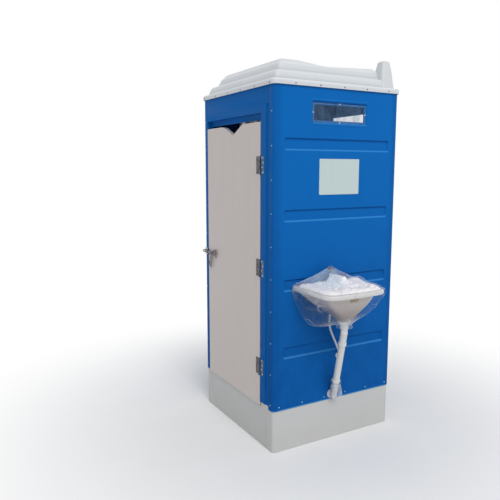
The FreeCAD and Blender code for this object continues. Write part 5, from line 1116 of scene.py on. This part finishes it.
def sign_plate():
    """Thin blank plate: rounded rectangles stacked outwards from the wall."""
    half_y, half_z, middle_y, middle_z, radius = 0.146, 0.103, 0.002, 1.619, 0.006
    corners = [(right, up, turn + np.linspace(0, math.pi / 2, 7)) for right, up, turn in
               ((1, 1, 0), (-1, 1, math.pi / 2), (-1, -1, math.pi), (1, -1, 1.5 * math.pi))]
    rows = []
    for reach, inset in ((0.0002, 0.0), (0.0016, 0.0), (0.0022, 0.0006), (0.0022, 0.012)):
        wide, high = half_y - radius - inset, half_z - radius - inset
        y, z = path(*[arc((right * wide, up * high), radius, angle) for right, up, angle in corners])
        rows.append(to_points(HALF + reach, middle_y + y, middle_z + z))
    obj = grid_piece("sign_plate", np.array(rows), around=True, cap_first=True, cap_last=True)
    return settle(obj, sign_face, "cabin", "roof_plastic")


sign_plate()


# CAD nodes: rounded copies of the hard-edged ones with their bevels, and the finishes of the rest

LEVELS = ("low", "mid", "top")
SOFTENED = [
    (plinth_grey, 0.003, ["plinth"]), (frame_blue, 0.0018, ["front_frame"]),
    (floor_grey, 0.001, ["floor_deck"]), (zinc, 0.001, ["ground_frame"]),
    (keeper_metal, 0.0006, ["latch_keeper"]), (latch_metal, 0.0006, ["latch_cleats", "latch_hasp"]),
    (latch_metal, 0.0005, ["padlock_eye"]),
    (latch_metal, 0.0006, ["inside_bolt_guide", "inside_keeper", "coat_hook"]),
    (cistern_white, 0.0015, ["cistern_tank"]),
    (leaf_metal, 0.0004, [f"hinge_{level}_frame_leaf" for level in LEVELS]),
    (hinge_metal, 0.0004, [f"hinge_{level}_door_leaf" for level in LEVELS]),
    (cistern_white, 0.001, ["flush_lever"]), (knob_dark, 0.0008, ["bib_lever", "tap_knob"]),
]
KEPT = [
    (door_grey, ["door_leaf"]), (roof_steel, ["roof_rivets"]),
    (rivet_metal, ["plinth_rivets", "corner_rivets"]),
    (screw_steel, ["window_screws", "keeper_screws", "hinge_screws_frame"]), (ceramic, ["squat_pan"]),
    (pipe_grey, ["soil_pipe", "vent_pipe", "vent_clips", "waste_coupling", "waste_pipe", "drain_pipe",
                 "water_pipe", "water_clips"]),
    (cistern_white, ["cistern_lid", "flush_pipe"]), (chrome, ["pillar_tap", "bib_tap"]),
    (hose_grey, ["hose_elbow"]), (window_sheet, ["window_pane_right", "window_pane_back"]),
    # Left pane: painted shade
    (painted_shade_pane, ["window_pane_left"]),
    (latch_metal, ["basin_bolts", "latch_rod", "inside_bolt", "inside_pull", "latch_screws"]),
    (hinge_metal, ["hinge_screws_door", *[f"hinge_{level}_pin" for level in LEVELS]]),
]


def finish_nodes():
    """Round the hard-edged nodes, on the record's bodies, and give the others their finish."""
    record = frame["record"]
    body_of = {node: body for body, members in record["behaviour"]["bodies"].items() for node in members}
    slot_of = {part["node"]: part["material_slot"] for part in record["subparts"]}
    for material, width, members in SOFTENED:
        for node in members:
            settle(soften(node, width), material, body_of[node], slot_of[node])
    for material, members in KEPT:
        for node in members:
            nodes[node].data.materials.clear()
            nodes[node].data.materials.append(material)


finish_nodes()


# Floor, light and background

def background_rays(tree):
    """1 for the rays that see the background: the camera's, and those through glass and off metal."""
    outputs = add(tree, "ShaderNodeLightPath").outputs
    camera, through, mirrored = [Wire(tree, outputs[f"Is {kind} Ray"])
                                 for kind in ("Camera", "Transmission", "Glossy")]
    return camera.most(through).most(mirrored)


def lay_over(tree, amount, first, second, sink):
    """Shader that goes from the first to the second as the amount goes from 0 to 1, into an output node."""
    mix = add(tree, "ShaderNodeMixShader")
    for slot, value in enumerate((amount, Wire(tree, first.outputs[0]), Wire(tree, second.outputs[0]))):
        plug(value, mix.inputs[slot])
    plug(Wire(tree, mix.outputs[0]), tree.nodes[sink].inputs["Surface"])


def make_floor():
    """Level pale floor, far larger than the view, that turns white away from the cabin."""
    size, under = 30.0, 0.0005
    floor = grid_piece("floor", np.array([[(x, y, -under) for x in (-size, size)] for y in (-size, size)]))
    material, shader, place = new_material("pale floor")
    tree = place.tree
    fill(shader, Base_Color=blend(noise(place, 3.0), (0.80, 0.80, 0.80), (0.84, 0.84, 0.84)), Roughness=0.9)
    white = fill(add(tree, "ShaderNodeEmission"), Color=(1, 1, 1), Strength=1.0)
    reach = fill(add(tree, "ShaderNodeVectorMath", operation="LENGTH"), Vector=place)
    fade = ramp(Wire(tree, reach.outputs["Value"]), 0.7, 2.6) * background_rays(tree)
    lay_over(tree, fade, shader, white, "Material Output")
    floor.data.materials.append(material)


def make_sun():
    """Broad soft sun from the front right, aimed at the middle of the cabin."""
    location, target = (4, -1, 5), (0, 0, 1)
    data = bpy.data.lights.new("key", "SUN")
    data.energy = 1.55
    data.angle = 0.6
    light = link(bpy.data.objects.new("key", data))
    light.location = location
    aim = np.array(target) - np.array(location)
    pitch, yaw = math.atan2(aim[2], math.hypot(aim[0], aim[1])), math.atan2(aim[1], aim[0])
    light.rotation_euler = (math.pi / 2 + pitch, 0, yaw - math.pi / 2)


def make_world():
    """Even sky light, seen as plain white."""
    world = bpy.data.worlds.new("World")
    world.use_nodes = True
    tree = world.node_tree
    sky = fill(tree.nodes["Background"], Color=(0.93, 0.96, 1.0), Strength=0.58)
    white = fill(add(tree, "ShaderNodeBackground"), Color=(1, 1, 1), Strength=1.0)
    lay_over(tree, background_rays(tree), sky, white, "World Output")
    bpy.context.scene.world = world


make_floor()
make_world()
make_sun()
bpy.context.scene.view_settings.view_transform = "Standard"
